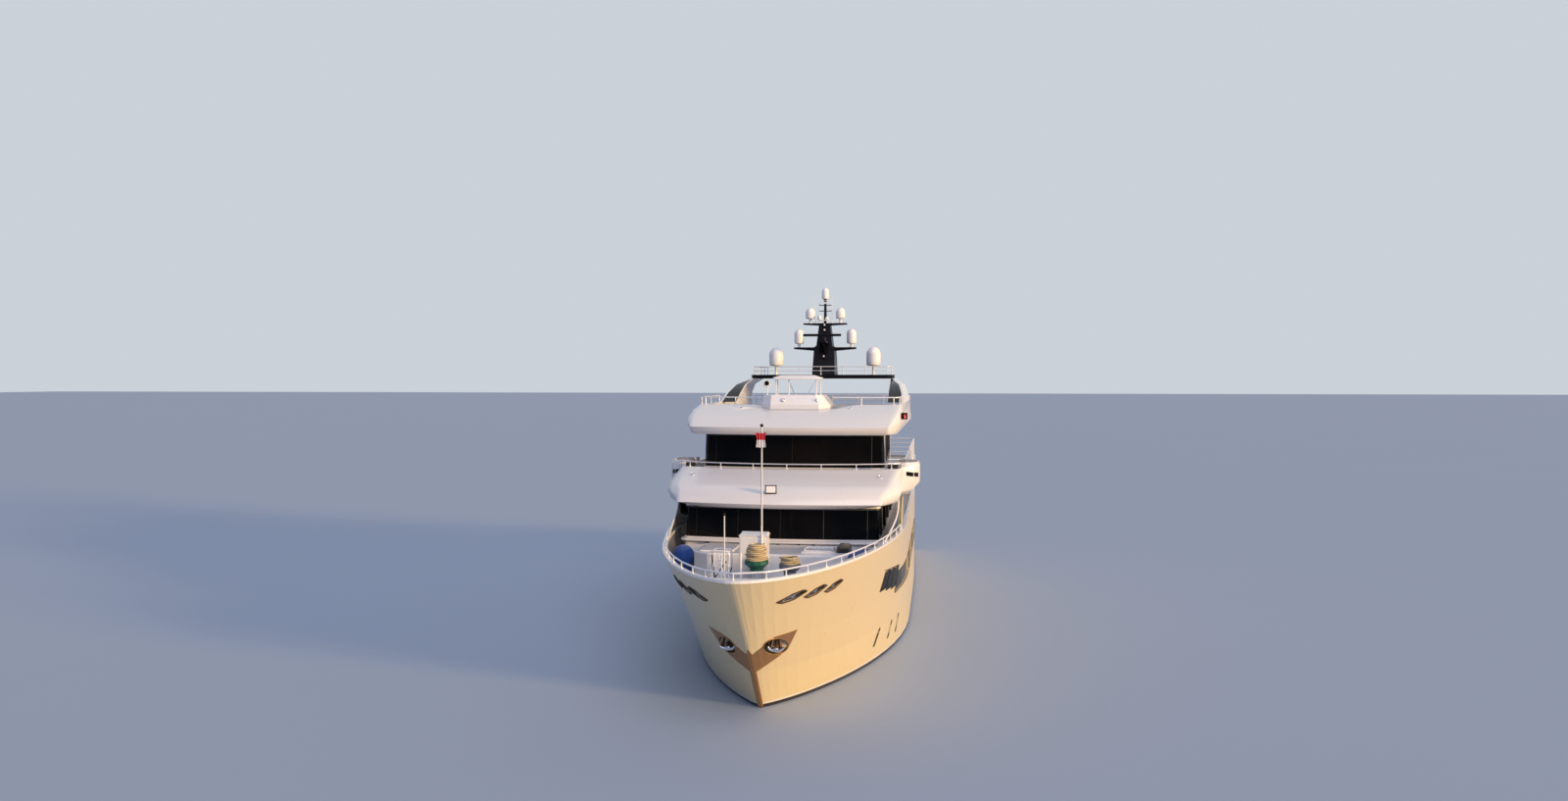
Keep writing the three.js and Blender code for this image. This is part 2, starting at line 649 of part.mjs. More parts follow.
// Its outline from the deck up: height, lean of the front, inset to starboard and to port
const POD_LEVELS = [[POD.z[0], 60, 0, 160], [9620, 0, 0, 0], [10150, 0, 0, 0], [POD.z[1], 220, 30, 330]];
const POD_CORNER = 420;

function buildPod(swell = 0) {
  const [x0, x1] = POD.x;
  const [y0, y1] = POD.y;
  return loft(POD_LEVELS.map(([z, lean, starboard, port]) => [
    [x0 + starboard - swell, y1 + swell],
    [x0 + starboard - swell, y0 + lean + POD_CORNER - swell],
    [x0 + POD_CORNER - swell, y0 + lean - swell],
    [x1 - POD_CORNER - port / 2 + swell, y0 + lean - swell],
    [x1 - port + swell, y0 + lean + POD_CORNER - swell],
    [x1 - port + swell, y1 + swell],
  ].map(([x, y]) => new THREE.Vector3(x, y, z === POD.z[0] ? z - swell : z))));
}

const SEARCHLIGHT = [-1300, -5800, 11050];

function buildSearchlight() {
  const [x, y, z] = SEARCHLIGHT;
  return join([
    rod([x, y, POD.z[1] - 200], [x, y, z], 25, { sides: 6 }),
    rod([x, y - 130, z], [x, y + 130, z], 110, { sides: 10 }),
  ]);
}

// Railings

// Path along a deck's edge from aftY on the starboard side round the front to the port side,
// with its post places
function deckEdge(plan, z, inset, aftY, sideSteps) {
  const ring = planRing(plan, z, inset);
  const [after, corner] = ring;
  const side = Array.from({ length: sideSteps + 1 }, (_, i) => {
    const y = aftY + ((corner.y - aftY) * i) / sideSteps;
    return [corner.x + ((after.x - corner.x) * (y - corner.y)) / (after.y - corner.y), y, z];
  });
  const mirrored = side.toReversed().map(([x, y, height]) => [-x, y, height]);
  const front = ring.slice(2, -2).map((p) => p.toArray());
  const posts = sideSteps > 1 ? side : side.slice(0, 1);
  return {
    path: [...side, ...front, ...mirrored],
    posts: [...posts, ...front.slice(3, -3), ...posts.map(([x, y, height]) => [-x, y, height])],
  };
}

// Path round the after end of a deck: from foreY on the starboard side, across aft, to the port side
function afterEdge(half, z, foreY, aftY, sideSteps, acrossSteps) {
  const side = Array.from({ length: sideSteps + 1 }, (_, i) => (
    [-half, foreY + ((aftY - foreY) * i) / sideSteps, z]
  ));
  const across = Array.from({ length: acrossSteps - 1 }, (_, i) => [
    -half + (2 * half * (i + 1)) / acrossSteps, aftY, z,
  ]);
  const path = [...side, ...across, ...side.toReversed().map(([x, y, height]) => [-x, y, height])];
  return { path, posts: path };
}

function railing({ path, posts }, { height, bars = [1], radius = 22, seat = 0 }) {
  const lift = (part) => path.map(([x, y, z]) => [x, y, z + height * part]);
  const uprights = posts.map(([x, y, z]) => (
    rod([x, y, z + seat + GAP], [x, y, z + height], radius, { sides: RAIL_SIDES })
  ));
  return join([...bars.map((part) => tube(lift(part), radius)), ...uprights]);
}

// The sundeck with its front rail, which stops each side of the pod
function buildSundeck() {
  const edge = deckEdge(crestOf(SUNDECK), crestOf(SUNDECK).z - 10, 60, -1300, 2);
  const rail = railing(edge, { height: 330 });
  const beside = block([POD.x[0] - 120, POD.x[1] + 120], [-FAR, 0], [0, FAR]);
  return join([buildTub(SUNDECK), rail.subtract(beside)]).subtract(buildPod(GAP));
}

function buildUpperHouse() {
  const walls = glazedWalls(UPPER_HOUSE, UPPER_BAND, mullions(UPPER_MULLIONS_Y, UPPER_BAND.z));
  return walls.subtract(doorway(UPPER_DOOR, UPPER_HOUSE_AFT_Y));
}

// The bridge house has a band round its front, and one along each side.
function buildBridgeHouse() {
  const sideBand = block([-FAR, FAR], SIDE_BAND.y, SIDE_BAND.z);
  const rebate = housePrism(BRIDGE_HOUSE, SIDE_BAND.z, GLASS_INSET - GAP).intersect(sideBand);
  return cut(glazedWalls(BRIDGE_HOUSE, BRIDGE_BAND, []), [
    cut(sideBand, mullions(BRIDGE_MULLIONS_Y, SIDE_BAND.z)),
    rebate,
    block([-FAR, FAR], BRIDGE_DOOR.y, BRIDGE_DOOR.z),
    doorway(LOUNGE_DOOR, BRIDGE_HOUSE_AFT_Y),
  ]);
}

// Doors

const HINGE_X = BRIDGE_HOUSE.low.half;
const LEAF_THICKNESS = 60;
const SLIDING_THICKNESS = 50;

function buildWheelhouseDoor(side) {
  const [y0, y1] = [BRIDGE_DOOR.y[0] + RUN, BRIDGE_DOOR.y[1] - RUN];
  const [z0, z1] = [BRIDGE_DOOR.z[0] + RUN, BRIDGE_DOOR.z[1] - RUN];
  const leaf = housePrism(BRIDGE_HOUSE, [z0, z1]).subtract(
    housePrism(BRIDGE_HOUSE, past([z0, z1]), LEAF_THICKNESS),
  );
  const [x, y] = [side * (HINGE_X - 30), y0 + 30];
  const pin = rod([x, y, BRIDGE_DOOR.z[0] + 2 * GAP], [x, y, z0 + 200], 16);
  return leaf.intersect(block([-FAR, FAR], [y0, y1], [z0, z1])).intersect(halfSpace(side)).add(pin);
}

// A sliding leaf on the deck inside an after wall, larger than its doorway
function slidingLeaf({ half, z }, aftY, deckZ) {
  const y = aftY - WALL - RUN;
  return block([-half - LEAF_THICKNESS, half + LEAF_THICKNESS], [y - SLIDING_THICKNESS, y], [
    deckZ + 2 * GAP, z[1] + LEAF_THICKNESS,
  ]);
}

// Hardtop, its supports, mast and aerials

const HARDTOP = { front: 3150, aft: 7800, half: 3750, aftHalf: 3600, camber: 200, rx: 350, ry: 700 };

function buildHardtop() {
  return loft([
    planRing(HARDTOP, HARDTOP_Z, 60), planRing(HARDTOP, HARDTOP_Z + 60), planRing(HARDTOP, HARDTOP_TOP_Z),
  ]);
}

// Hardtop support from the bulwark up: height, outer face X, Y of the front edge
const SUPPORT_LEVELS = [
  [crestOf(SUNDECK).z + GAP, 4405, -900],
  [10550, 4330, 200],
  [10950, 4160, 1500],
  [HARDTOP_Z - GAP, 3690, 3300],
];
const SUPPORT = { thick: 80, aftY: 7000, wingInner: 3620, wingLength: 300 };

// A long side plate, with a narrow wing across its front edge
function buildSupport(side) {
  const { thick, aftY, wingInner, wingLength } = SUPPORT;
  const ring = (z, [x0, x1], [y0, y1]) => [[x0, y0], [x0, y1], [x1, y1], [x1, y0]].map(([x, y]) => (
    new THREE.Vector3(side * x, y, z)
  ));
  const plate = loft(SUPPORT_LEVELS.map(([z, x, y]) => ring(z, [x - thick, x], [y, aftY])));
  const wing = loft(SUPPORT_LEVELS.map(([z, x, y]) => (
    ring(z, [Math.min(wingInner, x - thick - 20), x], [y, y + wingLength])
  )));
  return join([plate, wing]);
}

// Mast tower: height, half breadth, and Y of its fore and after faces
const MAST_RINGS = [
  [HARDTOP_TOP_Z + GAP, 600, 4400, 6100],
  [12900, 540, 4800, 6000],
  [13000, 420, 4830, 5950],
  [14100, 300, 5050, 5750],
];
// Spreaders: height of underside and top, half breadth, thickness of the tip, fore and after Y
const SPREADERS = [
  [12700, 12910, 1650, 90, 5050, 5650],
  [14080, 14200, 1160, 70, 5150, 5650],
];
const POLE_Y = 5400;
const RADAR_Y = 3800;
const RADAR_Z = 13440;
const RADAR_HALF = 1000;
const POLE_TOP_Z = 15450;
const CROSS_ARMS_Z = [14860, 15170];
const CROSS_ARM_HALF = 330;

// Shelf, knee and gearbox that carry the radar scanner ahead of the tower
function buildRadarShelf() {
  const under = RADAR_Z - 330;
  return join([
    block([-230, 230], [RADAR_Y - 250, 5100], [under, under + 80]),
    sidePlate([[RADAR_Y + 100, under + 10], [5000, RADAR_Z - 1000], [5000, under + 10]], -30, 30),
    block([-170, 170], [RADAR_Y - 230, RADAR_Y + 230], [under + 70, RADAR_Z - 60]),
  ]);
}

function buildMast() {
  const tower = loft(MAST_RINGS.map(([z, half, y0, y1]) => (
    [[-half, y1], [-half, y0], [half, y0], [half, y1]].map(([x, y]) => new THREE.Vector3(x, y, z))
  )));
  const arms = SPREADERS.map(([z0, z1, half, tip, y0, y1]) => frontPlate([
    [-half, z1 - tip], [-250, z0], [250, z0], [half, z1 - tip], [half, z1], [-half, z1],
  ], y0, y1));
  const pole = rod([0, POLE_Y, 14000], [0, POLE_Y, POLE_TOP_Z], 85, { endRadius: 60 });
  const crossArms = CROSS_ARMS_Z.map((z) => (
    block([-CROSS_ARM_HALF, CROSS_ARM_HALF], [POLE_Y - 25, POLE_Y + 25], [z - 20, z + 20])
  ));
  const topDome = buildDome(0, POLE_Y, POLE_TOP_Z - 50, POLE_TOP_Z + 50, 16100, 375);
  return join([tower, ...arms, pole, ...crossArms, buildRadarShelf(), topDome]);
}

function buildRadar() {
  const bar = block([-RADAR_HALF, RADAR_HALF], [RADAR_Y - 60, RADAR_Y + 60], [RADAR_Z, RADAR_Z + 130]);
  const hub = rod([0, RADAR_Y, RADAR_Z - 60 + 2 * GAP], [0, RADAR_Y, RADAR_Z + 20], 70, { sides: 10 });
  return bar.add(hub);
}

const DOME_SIDES = 14;

// Domes: name, X, Y, height of the seat, of the dome's foot and of its top, and its diameter
const DOMES = [
  ['dome_low', 2600, 5000, HARDTOP_TOP_Z, 11930, 12920, 760],
  ['dome_middle', 1410, 5350, SPREADERS[0][1], 13110, 13900, 520],
  ['dome_high', 810, 5400, SPREADERS[1][1], 14450, 15040, 510],
];

function buildDome(x, y, seat, foot, top, diameter) {
  const radius = diameter / 2;
  const height = top - foot;
  const waist = height - radius;
  const shoulder = foot + waist;
  return turned([
    [0, seat + GAP], [90, seat + GAP], [90, foot], [radius * 0.8, foot], [radius, foot + waist * 0.35],
    [radius, shoulder], [radius * 0.87, shoulder + radius * 0.5], [radius * 0.5, shoulder + radius * 0.87],
    [0, top],
  ], [x, y, 0], DOME_SIDES);
}

// Canopy on the console pod: its roof, then X and Y of its posts
const CANOPY = { x: [-1150, 1000], y: [-5350, -4450], z: [11210, 11400], slope: 320 };
const CANOPY_POSTS = [[-1030, -5100], [-450, -5150], [750, -5150], [880, -4590], [-1030, -4590]];

function buildCanopy() {
  const [x0, x1] = CANOPY.x;
  const [y0, y1] = CANOPY.y;
  const [z0, z1] = CANOPY.z;
  const ring = (z, inset) => {
    const [left, right] = [x0 + inset, x1 - inset];
    const [fore, aft] = [y0 + inset * 0.4, y1 - inset * 0.4];
    const corners = [[left, aft], [left, fore], [right, fore], [right, aft]];
    return corners.map(([x, y]) => new THREE.Vector3(x, y, z));
  };
  const roof = loft([ring(z0, 30), ring(z0 + 60, 0), ring(z1, CANOPY.slope)]);
  const posts = CANOPY_POSTS.map(([x, y]) => (
    rod([x, y, POD.z[1] + GAP], [x, y, z0 + 100], 28, { sides: 6 })
  ));
  return join([roof, ...posts]);
}

// Railings that stand alone

const LOW_RAIL = { height: 200 };
const AFT_RAIL = { height: 1050, bars: [0.5, 1], seat: COAMING };
const RAILS = {
  bridge_deck_rail_front: [
    deckEdge(crestOf(BRIDGE_DECK), crestOf(BRIDGE_DECK).z, 75, WING.y[0] - 50, 1), LOW_RAIL,
  ],
  bridge_deck_rail_aft: [
    afterEdge(4540, BRIDGE_Z, BRIDGE_DECK.bulwarkAftY + 100, BRIDGE_DECK_AFT_Y - 60, 6, 6), AFT_RAIL,
  ],
  sundeck_rail_aft: [
    afterEdge(4380, SUN_Z, SUNDECK.bulwarkAftY + 100, SUNDECK_AFT_Y - 60, 1, 6), AFT_RAIL,
  ],
  hardtop_rail: [deckEdge(HARDTOP, HARDTOP_TOP_Z, 140, 7500, 4), { height: 420 }],
};

const FOREDECK_RAIL_Y = [
  -8700, -9900, -11100, -12300, -13400, -14400, -15400, -16300, -17200, -18100, -18900, -19450,
];
const mirror = (points) => points.toReversed().map(([x, y, z]) => [-x, y, z]);

function foredeckEdge() {
  const z = CAP_RAIL.z[1];
  const side = FOREDECK_RAIL_Y.map((y) => sheerPoint(y, -1, 75, z));
  const path = [...side, [0, BOW_Y + 110, z], ...mirror(side)];
  return { path, posts: path };
}

function upperDeckEdge() {
  const places = [9100, 10500, 12000, 13500];
  const side = [...places, UPPER_DECK_AFT_Y - 75].map((y) => sheerPoint(y, -1, 75, UPPER_Z));
  const corner = side.at(-1)[0];
  const across = FRONT_PARTS.map((part) => [-corner * part, UPPER_DECK_AFT_Y - 75, UPPER_Z]);
  const path = [...side, ...across, ...mirror(side)];
  return { path, posts: path };
}

// Foredeck gear

const TRUNK = { x: [-2860, 2860], y: [-13300, -11150], z: [UPPER_Z + GAP, 4950] };
const HATCH = { x: [1150, 2250], y: [-12750, -11850], thickness: 50, lap: 80 };

function buildTrunk() {
  const [x0, x1] = TRUNK.x;
  const ring = (z, inset) => [
    [x0 + inset, TRUNK.y[1]], [x0 + inset, TRUNK.y[0] + 500], [x0 + 600, TRUNK.y[0] + inset],
    [x1 - 600, TRUNK.y[0] + inset], [x1 - inset, TRUNK.y[0] + 500], [x1 - inset, TRUNK.y[1]],
  ].map(([x, y]) => new THREE.Vector3(x, y, z));
  const body = loft([ring(TRUNK.z[0], 0), ring(TRUNK.z[1] - 60, 0), ring(TRUNK.z[1], 60)]);
  const inside = ([low, high]) => [low + HATCH.lap, high - HATCH.lap];
  return body.subtract(block(inside(HATCH.x), inside(HATCH.y), [TRUNK.z[1] - 600, FAR]));
}

function buildHatch() {
  const z = TRUNK.z[1] + 2 * GAP;
  return block(HATCH.x, HATCH.y, [z, z + HATCH.thickness]);
}

const STAFF_Y = -14800;
const COIL = { x: -60, y: -15500, z: 5120, inner: 110, outer: 390, height: 560 };
const COIL_PORT = { x: 1080, y: -15500, z: 5020, inner: 130, outer: 350, height: 300 };

const coilRing = ({ x, y, z, inner, outer, height }) => turned([
  [inner, z + GAP], [outer, z + GAP], [outer, z + height], [inner, z + height], [inner, z + GAP],
], [x, y, 0], 16);

// Drum that a coil lies on, with a waist below its plate
function coilBase({ x, y, z, outer }) {
  const deck = UPPER_Z + GAP;
  return turned([
    [0, deck], [outer * 0.85, deck], [outer * 0.85, UPPER_Z + 250], [outer * 0.6, UPPER_Z + 400],
    [outer * 0.6, z - 260], [outer * 1.05, z - 120], [outer * 1.05, z], [0, z],
  ], [x, y, 0], 12);
}

// Windlass: half lengths of its plate, X of the drums, and their profile as radius and height
const WINDLASS = { y: -17200, halfX: 950, halfY: 350, drumX: 550 };
const DRUM_PROFILE = [
  [0, 50], [230, 50], [210, 300], [130, 400], [130, 560], [190, 640], [190, 700], [0, 700],
];

function buildWindlass() {
  const { y, halfX, halfY, drumX } = WINDLASS;
  const plate = block([-halfX, halfX], [y - halfY, y + halfY], [UPPER_Z + GAP, UPPER_Z + 60]);
  const drums = [-drumX, drumX].map((x) => turned(DRUM_PROFILE, [x, y, UPPER_Z], 14));
  return join([plate, ...drums]);
}

// Chain stopper frame of bent tube
const FRAME = { x: [-1650, -970], y: [-15700, -15200], top: 5420, bend: 90, radius: 28 };

function buildFrame() {
  const { x: [x0, x1], y: [y0, y1], top, bend, radius } = FRAME;
  const [foot, shoulder] = [UPPER_Z + GAP, top - 120];
  const hoop = (y) => tube([
    [x0, y, foot], [x0, y, shoulder], [x0 + bend, y, top],
    [x1 - bend, y, top], [x1, y, shoulder], [x1, y, foot],
  ], radius);
  const rungs = [x0 + bend, x1 - bend].map((x) => rod([x, y0, top], [x, y1, top], radius, { sides: 6 }));
  return join([hoop(y0), hoop(y1), ...rungs]);
}

// Upright pole on the foredeck with a ball on top
function staff(x, y, top, radius, ball) {
  const pole = rod([x, y, UPPER_Z + GAP], [x, y, top - ball], radius, { endRadius: radius * 0.6 });
  const knob = turned([
    [0, -2 * ball], [ball * 0.87, -1.5 * ball], [ball * 0.87, -0.5 * ball], [0, 0],
  ], [x, y, top], 8);
  return pole.add(knob);
}

// The flagstaff stands at the front of the deck cabinet.
const CABINET = { x: [-790, 180], y: [STAFF_Y + 30, STAFF_Y + 550], z: [UPPER_Z + GAP, 5820] };

function buildFlagstaff() {
  return staff(0, STAFF_Y, 9700, 38, 55).add(block(CABINET.x, CABINET.y, CABINET.z));
}

// The flag hangs across the front of its staff: X of its sides, then Y from the staff and height
const FLAG = { x: [-190, 170], low: [-25.4, 8880], high: [-24, 9420], thickness: 14 };

function buildFlag() {
  const { x: [x0, x1], low, high, thickness } = FLAG;
  const face = [low, high].map(([y, z]) => [STAFF_Y + y, z]);
  const front = face.toReversed().map(([y, z]) => [y - thickness, z]);
  return sidePlate([...face, ...front], x0, x1);
}

function roundedCover([x0, x1], [y0, y1], [z0, z1], edge) {
  const ring = (z, inset) => [
    [x0 + inset, y1 - inset - edge], [x0 + inset, y0 + inset + edge], [x0 + inset + edge, y0 + inset],
    [x1 - inset - edge, y0 + inset], [x1 - inset, y0 + inset + edge], [x1 - inset, y1 - inset - edge],
    [x1 - inset - edge, y1 - inset], [x0 + inset + edge, y1 - inset],
  ].map(([x, y]) => new THREE.Vector3(x, y, z));
  return loft([ring(z0, edge * 0.4), ring(z0 + edge, 0), ring(z1 - edge, 0), ring(z1, edge * 0.6)]);
}

// Under water

// Propeller blade as seen along the shaft before it is pitched: along the chord, and out from the hub
const BLADE_OUTLINE = [
  [-90, 100], [-190, 330], [-170, 540], [-60, 690], [80, 680], [180, 520], [190, 320], [90, 100],
];
const BLADE_PITCH = 0.95;

function buildPropeller(side) {
  const x = side * SHAFT_X;
  const shaft = rod([x, SHAFT_FRONT_Y + 2 * GAP, SHAFT_Z], [x, PROPELLER_Y + 180, SHAFT_Z], SHAFT_RADIUS,
    { sides: 16, offset: true });
  const hub = rod([x, PROPELLER_Y - 180, SHAFT_Z], [x, PROPELLER_Y + 180, SHAFT_Z], 150,
    { sides: 16, endRadius: 120 });
  const cap = rod([x, PROPELLER_Y + 175, SHAFT_Z], [x, PROPELLER_Y + 330, SHAFT_Z], 118, {
    sides: 16, endRadius: 30,
  });
  const blades = [0, 1, 2, 3].map((quarter) => {
    const outline = new THREE.Shape(BLADE_OUTLINE.map(([chord, reach]) => new THREE.Vector2(chord, reach)));
    const blade = new THREE.ExtrudeGeometry(outline, { depth: 34, bevelEnabled: false });
    blade.translate(0, 0, -17);
    blade.rotateY(side * BLADE_PITCH);
    blade.rotateX(Math.PI / 2);
    blade.applyMatrix4(new THREE.Matrix4().makeRotationY((quarter * Math.PI) / 2));
    return toSolid(blade.translate(x, PROPELLER_Y, SHAFT_Z));
  });
  return join([shaft, hub, cap, ...blades]);
}

function buildRudder(side) {
  const x = side * SHAFT_X;
  const ring = (z, chord, thick) => [
    [-0.15, 0.65], [-0.5, 0.1], [-0.3, -0.25], [0.3, -0.25], [0.5, 0.1], [0.15, 0.65],
  ].map(([across, along]) => new THREE.Vector3(x + across * thick, RUDDER_Y + along * chord, z));
  const blade = loft([ring(-2500, 950, 60), ring(-1900, 1100, 110), ring(RUDDER_TOP_Z - 120, 1150, 130)]);
  const stockTop = RUDDER_TOP_Z - 2 * GAP;
  const stock = rod([x, RUDDER_Y, RUDDER_TOP_Z - 400], [x, RUDDER_Y, stockTop], 80, { sides: 12 });
  return blade.add(stock);
}

// The pieces

yacht.name = 'motor_yacht';
addPiece('hull', buildHull(), IVORY);
addPiece('stem_guard', buildStemGuard(), STEEL);
for (const [name, side] of SIDES) {
  addPiece(`bow_bulwark_${name}`, buildBowBulwark(side), IVORY);
  addPiece(`anchor_${name}`, buildAnchor(side), BRONZE);
}
addPiece('swim_platform', buildSwimPlatform(), TEAK);

addPiece('main_deck_house', buildMainHouse(), IVORY);
for (const [name, side] of SIDES) {
  addPiece(`main_deck_glass_${name}`, buildMainGlass(side), GLASS);
}
addPiece('upper_deck', buildUpperDeck(), IVORY);
addPiece('upper_house', buildUpperHouse(), WHITE);
addPiece('upper_house_glass', bandGlass(UPPER_HOUSE, UPPER_BAND), GLASS);
addPiece('bridge_deck', buildBridgeDeck(), WHITE);
addPiece('bridge_house', buildBridgeHouse(), WHITE);
addPiece('wheelhouse_glass', bandGlass(BRIDGE_HOUSE, BRIDGE_BAND), GLASS);
for (const [name, side] of SIDES) {
  addPiece(`lounge_glass_${name}`, bandGlass(BRIDGE_HOUSE, SIDE_BAND).intersect(halfSpace(side)), GLASS);
}
addPiece('sundeck', buildSundeck(), WHITE);
addPiece('console_pod', buildPod().add(buildSearchlight()), WHITE);

for (const [name, side] of SIDES) {
  addPiece(`wheelhouse_door_${name}`, buildWheelhouseDoor(side), TEAK);
}
addPiece('saloon_door', slidingLeaf(SALOON_DOOR, MAIN_HOUSE_AFT_Y, MAIN_Z), GLASS);
addPiece('upper_saloon_door', slidingLeaf(UPPER_DOOR, UPPER_HOUSE_AFT_Y, UPPER_Z), GLASS);
addPiece('lounge_door', slidingLeaf(LOUNGE_DOOR, BRIDGE_HOUSE_AFT_Y, BRIDGE_Z), GLASS);

addPiece('hardtop', buildHardtop(), BLACK);
addPiece('mast', buildMast(), BLACK);
addPiece('radar_scanner', buildRadar(), WHITE);
for (const [name, side] of SIDES) {
  addPiece(`hardtop_support_${name}`, buildSupport(side), WHITE);
  for (const [dome, x, y, seat, foot, top, diameter] of DOMES) {
    addPiece(`${dome}_${name}`, buildDome(side * x, y, seat, foot, top, diameter), WHITE);
  }
}
addPiece('pod_canopy', buildCanopy(), WHITE);

for (const [name, [edge, shape]] of Object.entries(RAILS)) {
  addPiece(name, railing(edge, shape), STEEL);
}
addPiece('foredeck_rail', railing(foredeckEdge(), LOW_RAIL), STEEL);
addPiece('upper_deck_rail', railing(upperDeckEdge(), { ...AFT_RAIL, height: 1080 }), STEEL);

addPiece('foredeck_trunk', buildTrunk(), WHITE);
addPiece('foredeck_hatch', buildHatch(), WHITE);
addPiece('windlass', buildWindlass(), STEEL);
addPiece('stopper_frame', buildFrame(), STEEL);
addPiece('coil_base_green', coilBase(COIL), GREEN);
addPiece('coil_base_grey', coilBase(COIL_PORT), GREY);
addPiece('hawser_coil_middle', coilRing(COIL), ROPE);
addPiece('hawser_coil_port', coilRing(COIL_PORT), ROPE);
addPiece('flagstaff', buildFlagstaff(), WHITE);
addPiece('flag', buildFlag(), RED);
addPiece('thin_pole', staff(-1000, -16300, 6800, 28, 45), WHITE);
addPiece('cover_port', roundedCover([2900, 3480], [-12950, -11550], [UPPER_Z + GAP, 5020], 120), BLUE);
addPiece('cover_starboard', turned([
  [0, UPPER_Z + GAP], [230, UPPER_Z + GAP], [330, 4300], [400, 4600], [380, 4850], [260, 4990], [0, 5040],
], [-3340, -12200, 0], 14), BLUE);

for (const [name, side] of SIDES) {
  addPiece(`propeller_${name}`, buildPropeller(side), BRONZE);
  addPiece(`rudder_${name}`, buildRudder(side), DARK_METAL);
}

export default yacht;
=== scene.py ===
import json
import math

import bmesh
import bpy
from mathutils import Matrix, Vector
from mathutils.bvhtree import BVHTree

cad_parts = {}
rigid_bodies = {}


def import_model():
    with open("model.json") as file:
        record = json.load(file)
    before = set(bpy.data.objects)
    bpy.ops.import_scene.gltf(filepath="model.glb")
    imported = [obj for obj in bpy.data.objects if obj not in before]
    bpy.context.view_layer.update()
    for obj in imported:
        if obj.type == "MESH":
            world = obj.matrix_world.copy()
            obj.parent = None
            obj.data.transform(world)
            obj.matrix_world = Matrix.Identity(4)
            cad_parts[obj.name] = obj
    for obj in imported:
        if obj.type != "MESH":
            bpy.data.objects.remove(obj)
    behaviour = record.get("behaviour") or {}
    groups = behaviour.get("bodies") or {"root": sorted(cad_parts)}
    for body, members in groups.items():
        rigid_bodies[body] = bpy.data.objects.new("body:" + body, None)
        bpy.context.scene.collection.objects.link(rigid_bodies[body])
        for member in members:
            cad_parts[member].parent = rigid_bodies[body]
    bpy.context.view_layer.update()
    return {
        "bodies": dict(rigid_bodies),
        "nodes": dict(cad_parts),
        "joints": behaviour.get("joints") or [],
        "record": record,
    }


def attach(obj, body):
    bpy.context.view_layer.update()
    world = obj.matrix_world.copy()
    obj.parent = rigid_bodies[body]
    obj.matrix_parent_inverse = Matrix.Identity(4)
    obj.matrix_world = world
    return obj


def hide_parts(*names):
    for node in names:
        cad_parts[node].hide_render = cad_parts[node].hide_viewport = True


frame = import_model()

NODES = frame["nodes"]
SCENE = bpy.context.scene
SIDES = (("port", 1), ("starboard", -1))
UP = Vector((0, 0, 1))
AHEAD = Vector((0, -1, 0))
PORT = Vector((1, 0, 0))

# Clearance between a fitting and the solid it stands on
GAP = 0.0003


# Camera: a wide lens ahead of the bow, a little to port, at the height of the hardtop, with the horizon's
# height over the middle of the frame in pixels
IMAGE_WIDTH = 1600
HORIZON_OFFSET = 23.5
CAMERA_PLACE = (6.09, -50.35, 11.3)
CAMERA_TURN = math.radians(8.5)
LENS_MM = 24
SENSOR_MM = 36
VIEW_DEPTH = 2000

camera_data = bpy.data.cameras.new("camera")
camera_data.lens = LENS_MM
camera_data.sensor_width = SENSOR_MM
camera_data.shift_y = -HORIZON_OFFSET / IMAGE_WIDTH
camera_data.clip_end = VIEW_DEPTH
camera = bpy.data.objects.new("camera", camera_data)
camera.location = CAMERA_PLACE
camera.rotation_euler = (math.pi / 2, 0, CAMERA_TURN)
SCENE.collection.objects.link(camera)
SCENE.camera = camera
SCENE.view_settings.view_transform = "Standard"


